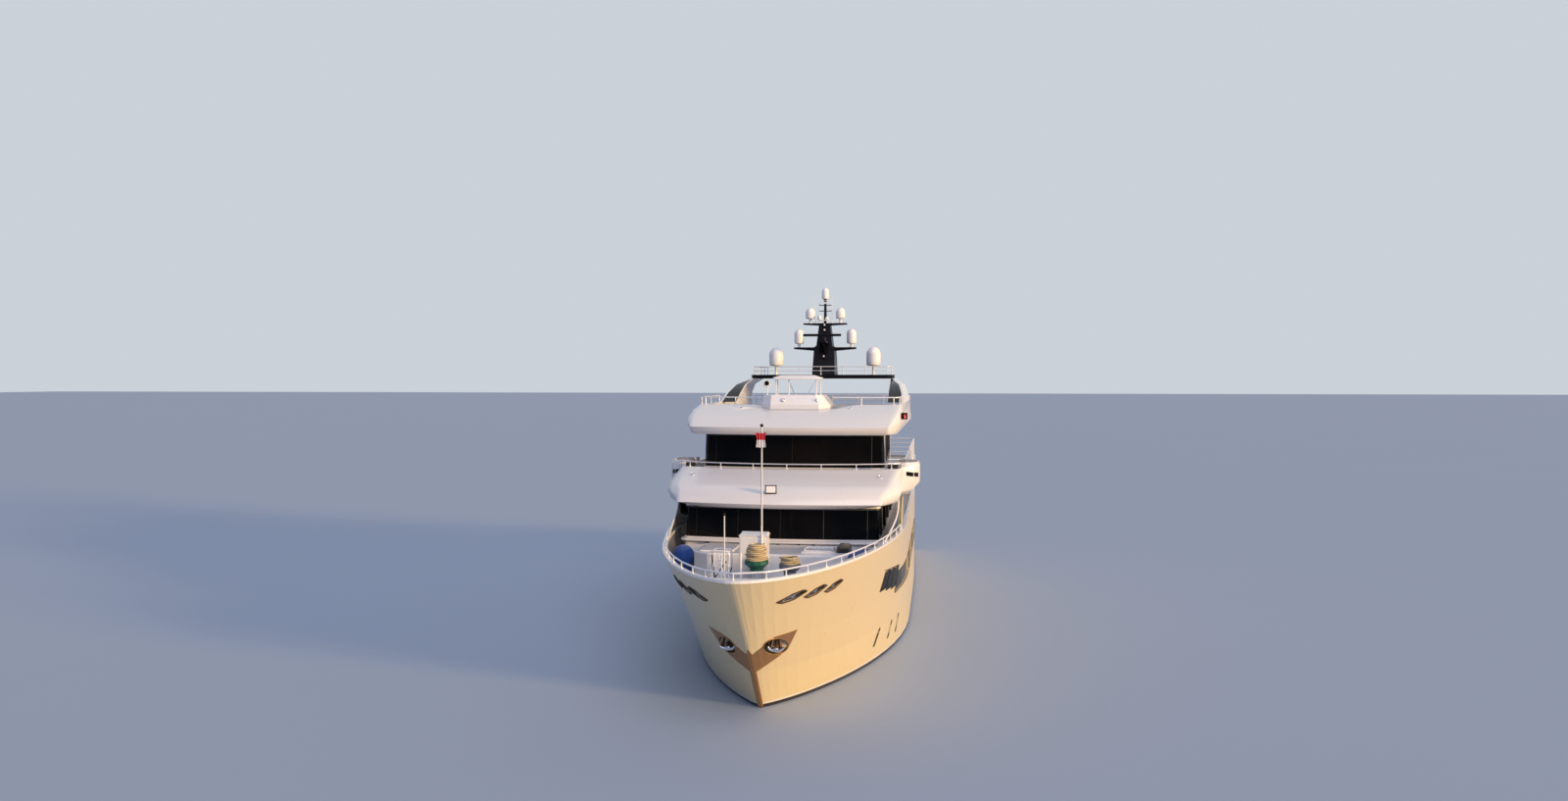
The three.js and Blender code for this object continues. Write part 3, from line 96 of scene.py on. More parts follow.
# Materials: small node graphs on object coordinates, which are metres in the yacht's own frame
class Graph:
    """A material's node graph, with short names for the nodes that the materials share."""

    def __init__(self, name):
        self.material = bpy.data.materials.new(name)
        self.material.use_nodes = True
        self.tree = self.material.node_tree
        self.shader = self.tree.nodes["Principled BSDF"]
        self.place = self.node("ShaderNodeTexCoord").outputs["Object"]

    def node(self, kind, **settings):
        made = self.tree.nodes.new(kind)
        for key, value in settings.items():
            setattr(made, key, value)
        return made

    def feed(self, socket, value):
        if isinstance(value, bpy.types.NodeSocket):
            self.tree.links.new(value, socket)
        else:
            socket.default_value = value

    def math(self, operation, a, b=0.0):
        made = self.node("ShaderNodeMath", operation=operation)
        self.feed(made.inputs[0], a)
        self.feed(made.inputs[1], b)
        return made.outputs[0]

    def chain(self, operation, first, *rest):
        for value in rest:
            first = self.math(operation, first, value)
        return first

    def times(self, *values):
        return self.chain("MULTIPLY", *values)

    def plus(self, *values):
        return self.chain("ADD", *values)

    def noise(self, scale, detail=4.0, stretch=(1, 1, 1)):
        scaled = self.node("ShaderNodeMapping")
        self.feed(scaled.inputs["Vector"], self.place)
        scaled.inputs["Scale"].default_value = stretch
        made = self.node("ShaderNodeTexNoise")
        self.feed(made.inputs["Vector"], scaled.outputs[0])
        made.inputs["Scale"].default_value = scale
        made.inputs["Detail"].default_value = detail
        return made.outputs["Fac"]

    def split(self, vector):
        made = self.node("ShaderNodeSeparateXYZ")
        self.feed(made.inputs[0], vector)
        return made.outputs

    def axes(self):
        return self.split(self.place)

    def facing(self):
        return self.split(self.node("ShaderNodeNewGeometry").outputs["Normal"])

    def blend(self, share, a, b):
        made = self.node("ShaderNodeMix", data_type="RGBA")
        self.feed(made.inputs["Factor"], share)
        for socket, value in ((made.inputs["A"], a), (made.inputs["B"], b)):
            self.feed(socket, (*value, 1.0) if isinstance(value, tuple) else value)
        return made.outputs["Result"]

    def spread(self, value, low, high, out_low=0.0, out_high=1.0):
        made = self.node("ShaderNodeMapRange")
        self.feed(made.inputs["Value"], value)
        limits = zip(("From Min", "From Max", "To Min", "To Max"), (low, high, out_low, out_high))
        for key, number in limits:
            made.inputs[key].default_value = number
        return made.outputs["Result"]

    def between(self, value, low, high, soft=0.004):
        rise = self.spread(value, low - soft, low + soft)
        fall = self.spread(value, high - soft, high + soft, 1.0, 0.0)
        return self.times(rise, fall)

    def uneven(self, scale, low, high, detail=4.0):
        """Cloudy variation between two values."""
        return self.spread(self.noise(scale, detail), 0.3, 0.7, low, high)

    def relief(self, height, strength, distance):
        made = self.node("ShaderNodeBump")
        made.inputs["Strength"].default_value = strength
        made.inputs["Distance"].default_value = distance
        self.feed(made.inputs["Height"], height)
        self.feed(self.shader.inputs["Normal"], made.outputs[0])

    def finish(self, color, rough, **constants):
        self.feed(self.shader.inputs["Base Color"], (*color, 1.0) if isinstance(color, tuple) else color)
        self.feed(self.shader.inputs["Roughness"], rough)
        for key, value in constants.items():
            self.shader.inputs[key.replace("_", " ")].default_value = value
        return self.material


def shade(color, factor):
    return tuple(min(1.0, part * factor) for part in color)


def mottled(graph, color, amount=0.05, scale=1.3, stretch=(1, 1, 1)):
    """The colour with soft cloudy variation."""
    share = graph.noise(scale, 5.0, stretch)
    return graph.blend(share, shade(color, 1 - amount), shade(color, 1 + amount))


def streaked(graph, color, dirt, amount=0.3):
    """The colour with faint runs of dirt down upright faces."""
    runs = graph.spread(graph.noise(1.0, 3.0, (5.0, 5.0, 0.25)), 0.55, 0.8, 0.0, amount)
    upright = graph.spread(graph.math("ABSOLUTE", graph.facing()["Z"]), 0.2, 0.5, 1.0, 0.0)
    return graph.blend(graph.times(runs, upright), color, dirt)


IVORY = (0.78, 0.64, 0.38)
IVORY_DIRT = (0.64, 0.50, 0.29)
WHITE = (0.82, 0.785, 0.76)
WHITE_DIRT = (0.6, 0.57, 0.52)
TEAK_LIGHT = (0.36, 0.25, 0.16)
TEAK_DARK = (0.25, 0.17, 0.11)
CAULKING = (0.02, 0.02, 0.02)
DECK_GREY = (0.44, 0.43, 0.46)
# Dark grey painted on the bow bulwark's inboard faces as shade
INNER_BULWARK_PAINTED_SHADE = (0.13, 0.135, 0.15)
BOOT_STRIPE = (0.86, 0.84, 0.8)
CAP_RAIL_PAINT = (0.80, 0.78, 0.77)
BOTTOM_PAINT = (0.035, 0.022, 0.018)
POST_BLACK = (0.01, 0.01, 0.012)
DEEP_BLACK = (0.006, 0.006, 0.009)
ROPE_TAN = (0.66, 0.50, 0.27)

# Heights at which colours change, and those of the walked decks; the sundeck's crest only inside its edges
BOOT_LOW = 0.15
BOOT_HIGH = 0.22
CAP_RAIL_LOW = 5.185
CAP_RAIL_HIGH = 5.4
COCKPIT_Z = 1.5
FOREDECK_Z = 4.05
BRIDGE_Z = 6.65
SUN_Z = 9.25
DECK_HEIGHTS = (COCKPIT_Z, FOREDECK_Z, BRIDGE_Z, SUN_Z)
DECK_BAND = 0.03
SUN_TOP = 10.12
SUN_TOP_X = (-3.55, 3.55)
SUN_TOP_Y = (-3.9, 3.1)
UPPER_WINDOW_Z = (5.1, 6.23)
BRIDGE_WINDOW_Z = (7.56, 8.88)


def plate_seams(graph, across, up):
    """Weld seams of the shell plating, as a height that dips at each seam."""
    plating = graph.node("ShaderNodeTexBrick")
    flat = graph.node("ShaderNodeCombineXYZ")
    axes = graph.axes()
    graph.feed(flat.inputs[0], axes["Y"])
    graph.feed(flat.inputs[1], axes["Z"])
    graph.feed(plating.inputs["Vector"], flat.outputs[0])
    sizes = {"Scale": 1, "Mortar Size": 0.006, "Mortar Smooth": 1, "Brick Width": across, "Row Height": up}
    for key, value in sizes.items():
        plating.inputs[key].default_value = value
    return plating.outputs["Fac"]


def teak_planks(graph, width=0.11):
    """(colour, height) of caulked planks that run fore and aft."""
    position = graph.math("DIVIDE", graph.axes()["X"], width)
    from_middle = graph.math("ABSOLUTE", graph.math("SUBTRACT", graph.math("FRACT", position), 0.5))
    seam = graph.spread(from_middle, 0.44, 0.48)
    wave = graph.math("SINE", graph.times(graph.math("FLOOR", position), 12.9898))
    shuffled = graph.math("FRACT", graph.times(wave, 437.58))
    grain = graph.noise(9.0, 6.0, (6.0, 0.5, 6.0))
    wood = graph.blend(graph.plus(graph.times(grain, 0.7), graph.times(shuffled, 0.3)), TEAK_DARK, TEAK_LIGHT)
    return graph.blend(seam, wood, CAULKING), graph.math("SUBTRACT", 1.0, seam)


def deck_mask(graph):
    """1 on the upward faces at the heights of the walked decks."""
    axes = graph.axes()

    def level(height):
        return graph.between(axes["Z"], height - DECK_BAND, height + DECK_BAND)

    inside = graph.times(graph.between(axes["X"], *SUN_TOP_X), graph.between(axes["Y"], *SUN_TOP_Y))
    crest = graph.times(inside, level(SUN_TOP))
    total = graph.plus(crest, *(level(height) for height in DECK_HEIGHTS))
    return graph.times(graph.spread(graph.facing()["Z"], 0.95, 0.99), graph.math("MINIMUM", total, 1.0))


def foredeck_mask(graph):
    """1 ahead of the upper house."""
    return graph.spread(graph.axes()["Y"], -8.6, -8.5, 1.0, 0.0)


def inner_bulwark_shade_mask(graph):
    """1 on the faces of the bow bulwark that look inboard, which are painted dark as shade."""
    axes = graph.axes()
    inward = graph.times(graph.facing()["X"], graph.math("SIGN", axes["X"]))
    height = graph.between(axes["Z"], FOREDECK_Z + 0.004, CAP_RAIL_LOW - 0.01)
    return graph.times(graph.spread(inward, -0.2, -0.1, 1.0, 0.0), height, foredeck_mask(graph))


def mullion_mask(graph):
    """1 on the forward faces of the posts between the side windows."""
    axes = graph.axes()
    ahead = graph.spread(graph.facing()["Y"], -0.9, -0.8, 1.0, 0.0)
    beside = graph.between(graph.math("ABSOLUTE", axes["X"]), 3.3, 3.9)
    aft = graph.spread(axes["Y"], -9.6, -9.5)
    band = graph.plus(graph.between(axes["Z"], *UPPER_WINDOW_Z), graph.between(axes["Z"], *BRIDGE_WINDOW_Z))
    return graph.times(ahead, beside, aft, band)


def deck_finish(graph, body):
    """(colour, deck share, height) with grey non-slip paint on the foredeck and teak on the other decks."""
    wood, planks = teak_planks(graph)
    deck = deck_mask(graph)
    grey = graph.blend(graph.noise(60.0, 3.0), shade(DECK_GREY, 0.9), shade(DECK_GREY, 1.1))
    color = graph.blend(deck, body, graph.blend(foredeck_mask(graph), wood, grey))
    return color, deck, graph.times(planks, deck, 0.5)


def paint_gloss(graph, deck):
    """Roughness of gloss paint, a little uneven, and of the decks."""
    return graph.plus(graph.times(deck, 0.35), graph.uneven(0.5, 0.27, 0.31, 2.0))


def make_hull_paint():
    g = Graph("hull_paint")
    z = g.axes()["Z"]
    color = streaked(g, mottled(g, IVORY, 0.012, 0.35), IVORY_DIRT, 0.04)
    color = g.blend(g.between(z, BOOT_LOW, BOOT_HIGH), color, BOOT_STRIPE)
    under = g.spread(g.plus(z, g.times(g.noise(2.5), 0.02)), BOOT_LOW - 0.004, BOOT_LOW + 0.004, 1.0, 0.0)
    color = g.blend(under, color, mottled(g, BOTTOM_PAINT, 0.4, 3.0))
    color = g.blend(g.between(z, CAP_RAIL_LOW, CAP_RAIL_HIGH), color, CAP_RAIL_PAINT)
    # The bow bulwark's inboard faces get a dark grey that is painted shade
    color = g.blend(inner_bulwark_shade_mask(g), color, mottled(g, INNER_BULWARK_PAINTED_SHADE, 0.15, 2.0))
    color, deck, planks = deck_finish(g, color)
    seams = g.times(plate_seams(g, 6.0, 1.7), -0.12)
    g.relief(g.plus(seams, g.times(g.noise(0.4, 0.0), 0.5), planks), 0.2, 0.004)
    return g.finish(color, paint_gloss(g, deck), Coat_Weight=0.3, Coat_Roughness=0.1)


def make_white_paint():
    g = Graph("superstructure_paint")
    body = streaked(g, mottled(g, WHITE, 0.012, 0.5), WHITE_DIRT, 0.1)
    color, deck, planks = deck_finish(g, g.blend(mullion_mask(g), body, POST_BLACK))
    g.relief(g.plus(g.times(g.noise(0.5, 0.0), 0.4), planks), 0.3, 0.004)
    return g.finish(color, paint_gloss(g, deck), Coat_Weight=0.4, Coat_Roughness=0.1)


def make_plain(name, color, mottle, bump, gloss, **constants):
    """One colour: mottle gives amount and scale, bump scale, detail, strength and depth, gloss its limits."""
    g = Graph(name)
    scale, detail, strength, depth = bump
    g.relief(g.noise(scale, detail), strength, depth)
    return g.finish(mottled(g, color, *mottle), g.uneven(*gloss), **constants)


def make_gelcoat(name, color, rough):
    return make_plain(name, color, (0.03, 2.0), (14.0, 3.0, 0.08, 0.002), (5.0, rough, rough + 0.08),
                      Coat_Weight=0.5, Coat_Roughness=0.08)


def make_lamp(name, color):
    return make_plain(name, color, (0.1, 8.0), (40.0, 4.0, 0.2, 0.002), (9.0, 0.08, 0.2),
                      Coat_Weight=0.6, Coat_Roughness=0.05)


def make_rubber(name, color):
    return make_plain(name, color, (0.3, 6.0), (30.0, 4.0, 0.3, 0.002), (8.0, 0.55, 0.75))


def make_aged_metal(name, colors, patches, bump, rough, metal):
    """Metal in two tones: patches is scale, detail and limits, bump scale, detail, strength and depth."""
    g = Graph(name)
    scale, detail, low, high = patches
    share = g.spread(g.noise(scale, detail), low, high)
    scale, detail, strength, depth = bump
    g.relief(g.noise(scale, detail), strength, depth)
    return g.finish(g.blend(share, *colors), g.spread(share, 0, 1, *rough), Metallic=metal)


def make_black_paint():
    g = Graph("black_paint")
    g.relief(g.noise(5.0, 3.0), 0.1, 0.003)
    salt = g.spread(g.noise(3.0, 6.0, (1, 1, 0.4)), 0.6, 0.8, 0.0, 0.12)
    color = g.blend(salt, mottled(g, DEEP_BLACK, 0.3, 2.0), (0.05, 0.05, 0.06))
    return g.finish(color, g.uneven(4.0, 0.3, 0.42), Specular_IOR_Level=0.15)


def make_glass(name, level):
    g = Graph(name)
    g.relief(g.noise(0.8, 2.0), 0.04, 0.01)
    cloud = g.spread(g.noise(0.35, 2.0), 0.35, 0.65)
    tint = g.blend(cloud, (0.002, 0.003, 0.004), (0.010, 0.008, 0.007))
    smear = g.spread(g.noise(6.0, 5.0), 0.4, 0.8, 0.03, 0.09)
    return g.finish(tint, smear, IOR=1.33, Specular_IOR_Level=level)


def make_steel(name, color, rough, stretch=(1, 1, 14), metal=0.85):
    g = Graph(name)
    brush = g.noise(22.0, 4.0, stretch)
    g.relief(brush, 0.08, 0.002)
    gloss = g.spread(brush, 0.3, 0.7, rough - 0.06, rough + 0.1)
    return g.finish(mottled(g, color, 0.06, 3.0), gloss, Metallic=metal)


def make_teak():
    g = Graph("teak")
    wood, planks = teak_planks(g, 0.12)
    g.relief(planks, 0.5, 0.004)
    return g.finish(wood, g.uneven(6.0, 0.5, 0.7))


def make_brown_wood():
    g = Graph("varnished_wood")
    grain = g.noise(7.0, 7.0, (7, 7, 0.6))
    g.relief(grain, 0.15, 0.002)
    color = g.blend(grain, (0.07, 0.036, 0.022), (0.15, 0.08, 0.045))
    return g.finish(color, g.spread(grain, 0.3, 0.7, 0.2, 0.32), Coat_Weight=0.6, Coat_Roughness=0.06)


def make_worn_paint(name, color, rough=0.45, below=None):
    """Chipped paint; below gives a height, and the colour under it."""
    g = Graph(name)
    chips = g.spread(g.noise(9.0, 7.0), 0.62, 0.68)
    base = mottled(g, color, 0.12, 3.0)
    if below:
        level, lower = below
        base = g.blend(g.spread(g.axes()["Z"], level - 0.005, level + 0.005, 1.0, 0.0), base, lower)
    g.relief(g.math("SUBTRACT", g.noise(12.0), g.times(chips, 0.5)), 0.25, 0.003)
    return g.finish(g.blend(chips, base, shade(color, 0.45)), g.spread(chips, 0, 1, rough, rough + 0.25))


def make_rope():
    g = Graph("laid_rope")
    fibre = g.noise(60.0, 5.0)
    worn = g.noise(3.0)
    g.relief(fibre, 0.8, 0.006)
    light = g.blend(worn, ROPE_TAN, (0.86, 0.72, 0.46))
    return g.finish(g.blend(fibre, shade(ROPE_TAN, 0.7), light), 0.85, Sheen_Weight=0.3)


def make_canvas(name, color, weave=240.0, split=None):
    """Woven cloth; split gives a height, and the colour under it."""
    g = Graph(name)
    axes = g.axes()
    waves = (g.math("SINE", g.times(axes[key], weave)) for key in ("X", "Y", "Z"))
    cloth = g.times(g.plus(*waves), 0.33)
    creases = g.noise(5.0, 5.0)
    g.relief(g.plus(g.times(cloth, 0.2), creases), 0.35, 0.01)
    faded = mottled(g, color, 0.22, 2.2)
    if split:
        level, lower = split
        under = g.spread(axes["Z"], level - 0.01, level + 0.01, 1.0, 0.0)
        faded = g.blend(under, faded, mottled(g, lower, 0.05, 2.2))
    rough = g.spread(creases, 0.3, 0.7, 0.7, 0.9)
    return g.finish(faded, rough, Sheen_Weight=0.25, Sheen_Roughness=0.5)


FLAG_SPLIT_Z = 9.15
GREEN_BASE_FOOT = (4.78, (0.5, 0.5, 0.52))
HULL_PAINT = make_hull_paint()
WHITE_PAINT = make_white_paint()
GELCOAT = make_gelcoat("gelcoat", (0.86, 0.84, 0.82), 0.22)
DOME_WHITE = make_gelcoat("dome_shell", (0.9, 0.88, 0.86), 0.3)
BLACK_PAINT = make_black_paint()
TINTED_GLASS = make_glass("tinted_glass", 0.2)
HULL_GLASS = make_glass("hull_glass", 0.04)
STAINLESS = make_steel("stainless", (0.74, 0.74, 0.75), 0.24)
# Pale, half-metallic steel of the rails: its whiteness is a painted reflection of a bright sky
RAIL_STEEL_PAINTED_SKY = make_steel("rail_steel_painted_sky", (0.86, 0.85, 0.86), 0.32, metal=0.35)
# The stem guard's brown is a painted reflection of the water on its polished steel
GUARD_STEEL_PAINTED_REFLECTION = make_steel("guard_steel_painted_reflection", (0.42, 0.23, 0.10), 0.36, (3, 3, 0.8), 0.6)
BRONZE = make_aged_metal("bronze", ((0.33, 0.2, 0.09), (0.13, 0.12, 0.08)), (6.0, 7.0, 0.45, 0.7),
                         (30.0, 4.0, 0.3, 0.004), (0.3, 0.6), 0.9)
ANCHOR_IRON = make_aged_metal("anchor_iron", ((0.08, 0.06, 0.05), (0.16, 0.05, 0.02)), (7.0, 8.0, 0.42, 0.62),
                              (26.0, 6.0, 0.5, 0.006), (0.42, 0.75), 0.4)
BOTTOM_METAL = make_plain("rudder_antifouling", (0.05, 0.035, 0.03), (0.4, 4.0), (18.0, 6.0, 0.4, 0.004),
                          (5.0, 0.6, 0.8))
# Brown of the fairlead rims, and of their linings, where it is painted shade
FAIRLEAD_BRONZE_AND_SHADE = make_worn_paint("fairlead_bronze_and_painted_shade", (0.055, 0.032, 0.02), 0.5)
TEAK = make_teak()
BROWN_WOOD = make_brown_wood()
GREEN_PAINT = make_worn_paint("green_paint", (0.015, 0.13, 0.085), below=GREEN_BASE_FOOT)
GREY_PAINT = make_worn_paint("grey_paint", (0.2, 0.21, 0.23))
ROPE = make_rope()
BLUE_CANVAS = make_canvas("blue_canvas", (0.007, 0.05, 0.22))
BLACK_CANVAS = make_canvas("black_canvas", DEEP_BLACK)
FLAG_CLOTH = make_canvas("flag_bunting", (0.62, 0.02, 0.03), 500.0, (FLAG_SPLIT_Z, (0.82, 0.78, 0.74)))
RUBBER = make_rubber("black_rubber", (0.02, 0.02, 0.022))
# Grey sealant of the porthole rims, also the lighter grey of the port window joints, which is painted light
SEALANT_AND_PAINTED_LIGHT = make_rubber("sealant_and_painted_light", (0.10, 0.105, 0.09))
RED_LENS = make_lamp("red_lens", (0.6, 0.01, 0.01))
GREEN_LENS = make_lamp("green_lens", (0.0, 0.22, 0.1))
CLEAR_LENS = make_lamp("clear_lens", (0.75, 0.77, 0.78))


def both(*names):
    return [f"{name}_{side}" for name in names for side, _ in SIDES]


# Each material with its slot and the solids that carry it
FINISHES = (
    (HULL_PAINT, "ivory_paint", ["hull", "main_deck_house", "upper_deck", *both("bow_bulwark")]),
    (WHITE_PAINT, "white_paint", ["upper_house", "bridge_deck", "bridge_house", "sundeck", "foredeck_trunk"]),
    (GELCOAT, "white_paint", ["console_pod", "pod_canopy", "flagstaff", "thin_pole", "foredeck_hatch",
                              *both("hardtop_support")]),
    (DOME_WHITE, "white_paint", both("dome_low", "dome_middle", "dome_high")),
    (BLACK_PAINT, "black_paint", ["hardtop", "mast", "radar_scanner"]),
    (HULL_GLASS, "dark_glass", both("main_deck_glass")),
    (TINTED_GLASS, "dark_glass", ["upper_house_glass", "wheelhouse_glass", *both("lounge_glass"),
                                  "saloon_door", "upper_saloon_door", "lounge_door"]),
    (GUARD_STEEL_PAINTED_REFLECTION, "stainless", ["stem_guard"]),
    (STAINLESS, "stainless", ["windlass", "stopper_frame"]),
    (RAIL_STEEL_PAINTED_SKY, "stainless", ["bridge_deck_rail_front", "bridge_deck_rail_aft", "sundeck_rail_aft",
                               "hardtop_rail", "foredeck_rail", "upper_deck_rail"]),
    (BRONZE, "bronze", both("propeller")),
    (ANCHOR_IRON, "bronze", both("anchor")),
    (BOTTOM_METAL, "antifouling", both("rudder")),
    (TEAK, "teak", ["swim_platform"]),
    (BROWN_WOOD, "teak", both("wheelhouse_door")),
    (GREEN_PAINT, "green_paint", ["coil_base_green"]),
    (GREY_PAINT, "grey_paint", ["coil_base_grey"]),
    (ROPE, "rope", ["hawser_coil_middle", "hawser_coil_port"]),
    (BLUE_CANVAS, "blue_cover", both("cover")),
    (FLAG_CLOTH, "flag_cloth", ["flag"]),
    (BLACK_CANVAS, "blue_cover", []),
    (FAIRLEAD_BRONZE_AND_SHADE, "bronze", []),
    (RUBBER, "black_paint", []),
    (SEALANT_AND_PAINTED_LIGHT, "grey_paint", []),
    (RED_LENS, "dark_glass", []),
    (GREEN_LENS, "dark_glass", []),
    (CLEAR_LENS, "dark_glass", []),
)
SMOOTH_ANGLE = math.radians(32)


def shade_mesh(mesh, material, angle=SMOOTH_ANGLE):
    mesh.materials.clear()
    mesh.materials.append(material)
    mesh.shade_smooth()
    mesh.set_sharp_from_angle(angle=angle)


for material, _, names in FINISHES:
    for name in names:
        shade_mesh(NODES[name].data, material)


# Forms: meshes under construction, in metres in the yacht's own frame. Corners closer than MERGE become one
MERGE = 1e-5


def around(count):
    """The angles of that many equal steps round a turn."""
    return [2 * math.pi * k / count for k in range(count)]


class Form:
    """Points and faces of one piece; each method adds a shape and gives the form back."""

    def __init__(self):
        self.points = []
        self.faces = []

    def add(self, points, faces):
        base = len(self.points)
        self.points += [Vector(point) for point in points]
        self.faces += [tuple(base + corner for corner in face) for face in faces]
        return self

    def skin(self, rings, closed=False, caps=True):
        """Faces between rings with like numbers of points; closed joins the last ring to the first."""
        count, total = len(rings[0]), len(rings)
        following = [(i + 1) % count for i in range(count)]
        faces = []
        for ring in range(total if closed else total - 1):
            low, high = ring * count, (ring + 1) % total * count
            faces += [(low + i, low + j, high + j, high + i) for i, j in enumerate(following)]
        if caps and not closed:
            faces += [tuple(reversed(range(count))), tuple(range((total - 1) * count, total * count))]
        return self.add([point for ring in rings for point in ring], faces)

    def tube(self, path, radius, sides=8, closed=False):
        """A round tube along the path."""
        path = [Vector(point) for point in path]
        count = len(path)
        rings = []
        normal = None
        for i, point in enumerate(path):
            before = path[i - 1] if i or closed else point
            after = path[(i + 1) % count] if i + 1 < count or closed else point
            tangent = (after - before).normalized()
            normal = tangent.orthogonal() if normal is None else normal
            normal = (normal - tangent * normal.dot(tangent)).normalized()
            side = tangent.cross(normal)
            spokes = [normal * math.cos(a) + side * math.sin(a) for a in around(sides)]
            rings.append([point + spoke * radius for spoke in spokes])
        return self.skin(rings, closed)

    def lathe(self, profile, origin, axis=UP, sides=24):
        """A turned body; profile is radius and height pairs along the axis."""
        axis = Vector(axis).normalized()
        first = axis.orthogonal().normalized()
        second = axis.cross(first)
        spokes = [first * math.cos(a) + second * math.sin(a) for a in around(sides)]
        origin = Vector(origin)
        return self.skin([[origin + axis * height + spoke * max(radius, MERGE) for spoke in spokes]
                          for radius, height in profile])

    def slab(self, size, frame, edge=0.01):
        """A box with bevelled edges about the origin of a frame."""
        half = [part / 2 for part in size]
        edge = min(edge, *(part * 0.49 for part in half))
        rings = []
        for z, inset in ((-half[2], edge), (-half[2] + edge, 0), (half[2] - edge, 0), (half[2], edge)):
            x, y = half[0] - inset, half[1] - inset
            corners = [(x, -y + edge), (x, y - edge), (x - edge, y), (-x + edge, y),
                       (-x, y - edge), (-x, -y + edge), (-x + edge, -y), (x - edge, -y)]
            rings.append([frame @ Vector((a, b, z)) for a, b in corners])
        return self.skin(rings)

    def box(self, low, high, edge=0.01):
        low, high = Vector(low), Vector(high)
        return self.slab(high - low, Matrix.Translation((low + high) / 2), edge)

    def moulding(self, path, profile, closed=False):
        """Carries a profile of (out, up) pairs along a level path, out to its left hand side looking back."""
        count = len(path)
        rings = []
        for i, point in enumerate(path):
            before = path[i - 1] if i or closed else None
            after = path[(i + 1) % count] if i + 1 < count or closed else None
            normals = [(b - a).cross(UP).normalized() for a, b in ((before, point), (point, after))
                       if a is not None and b is not None]
            outward = sum(normals, Vector()).normalized()
            reach = 1 / max(0.5, outward.dot(normals[0]))
            rings.append([point + outward * out * reach + UP * up for out, up in profile])
        return self.skin(rings, closed)


def drum(radius, low, high, top=None):
    """Profile of a turned body with a flat foot; top is the height of its crown's middle."""
    return [(0.0, low), (radius, low), (radius, high), (0.0, high if top is None else top)]


def flange(wide, edge, narrow, top, low=0.0):
    """Profile of a post's foot: a flat rim that tapers up to the post."""
    return [(0.0, low), (wide, low), (wide, edge), (narrow, top)]


def rounded(path, radius, steps=4, closed=False):
    """The path with its corners turned in curves."""
    path = [Vector(point) for point in path]
    count = len(path)
    curved = []
    for i, point in enumerate(path):
        if not closed and i in (0, count - 1):
            curved.append(point)
            continue
        back, forward = path[i - 1] - point, path[(i + 1) % count] - point
        reach = min(radius, back.length * 0.45, forward.length * 0.45)
        start, end = point + back.normalized() * reach, point + forward.normalized() * reach
        for k in range(steps + 1):
            t = k / steps
            curved.append(start * (1 - t) ** 2 + point * (2 * t * (1 - t)) + end * t ** 2)
    return curved


def cleaned(mesh, source, shift=None):
    """Fills a mesh from another: doubles merged, corners moved by shift, faces turned outward."""
    work = bmesh.new()
    work.from_mesh(source)
    bmesh.ops.remove_doubles(work, verts=work.verts, dist=MERGE)
    if shift:
        for vert in work.verts:
            vert.co = shift(vert.co.copy())
    bmesh.ops.recalc_face_normals(work, faces=work.faces)
    work.to_mesh(mesh)
    work.free()


def declared(name, mesh, material, body, replaces):
    made = bpy.data.objects.new(name, mesh)
    SCENE.collection.objects.link(made)
    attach(made, body)
    if replaces:
        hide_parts(*replaces)
    return made


def piece(name, form, material, body="yacht", replaces=(), angle=SMOOTH_ANGLE):
    mesh = bpy.data.meshes.new(name)
    mesh.from_pydata([tuple(point) for point in form.points], [], form.faces)
    cleaned(mesh, mesh)
    shade_mesh(mesh, material, angle)
    return declared(name, mesh, material, body, replaces)


TREES = {}

# Reshaped decks: the angle over which edges show, and the least upward normal of a face that counts as level
SHELL_ANGLE = math.radians(34)
LEVEL_NORMAL = 0.9995


def tree_from(mesh):
    corners = [vertex.co.copy() for vertex in mesh.vertices]
    return BVHTree.FromPolygons(corners, [tuple(face.vertices) for face in mesh.polygons])


def tree_of(node):
    if node not in TREES:
        TREES[node] = tree_from(NODES[node].data)
    return TREES[node]


def seat(nodes, origin, toward):
    """(place, normal) where a line first meets any of the nodes."""
    hits = [tree_of(node).ray_cast(Vector(origin), Vector(toward).normalized()) for node in nodes]
    place, normal, _, _ = min((hit for hit in hits if hit[0] is not None), key=lambda hit: hit[3])
    return place, normal


def reshaped(node, shift):
    """A copy of a white deck with its corners moved, in the solid's place; its level faces look flat."""
    name = f"{node}_shell"
    mesh = bpy.data.meshes.new(name)
    cleaned(mesh, NODES[node].data, shift)
    shade_mesh(mesh, WHITE_PAINT, SHELL_ANGLE)
    level, sloped = set(), set()
    for face in mesh.polygons:
        (level if face.normal.z > LEVEL_NORMAL else sloped).update(face.edge_keys)
    rims = level & sloped
    for edge in mesh.edges:
        if edge.key in rims:
            edge.use_edge_sharp = True
    declared(name, mesh, WHITE_PAINT, "yacht", (node,))
    TREES[node] = tree_from(mesh)


HULL_NODES = ("hull", "main_deck_house", "upper_deck", *both("bow_bulwark", "main_deck_glass"))

# Distance to the side, clear of everything, from which a line looks inward
CLEAR_X = 8


def hull_point(side, y, z, lift=0.0):
    place, normal = seat(HULL_NODES, (side * CLEAR_X, y, z), (-side, 0, 0))
    return place + normal * lift


def hull_plate(form, side, outline, lift, depth=0.03):
    """A thin plate on the hull; outline is Y and Z pairs."""
    outer = [hull_point(side, y, z, lift) for y, z in outline]
    inner = [hull_point(side, y, z, -depth) for y, z in outline]
    return form.skin([inner, outer])


def hull_patch(form, side, span, heights, lift, depth=0.02, columns=4, rows=3):
    """A thin sheet that follows the hull between two Y and two heights."""
    rings = []
    for column in range(columns + 1):
        y = span[0] + (span[1] - span[0]) * column / columns
        levels = [heights[0] + (heights[1] - heights[0]) * row / rows for row in range(rows + 1)]
        rings.append([hull_point(side, y, z, lift) for z in levels]
                     + [hull_point(side, y, z, -depth) for z in reversed(levels)])
    return form.skin(rings)


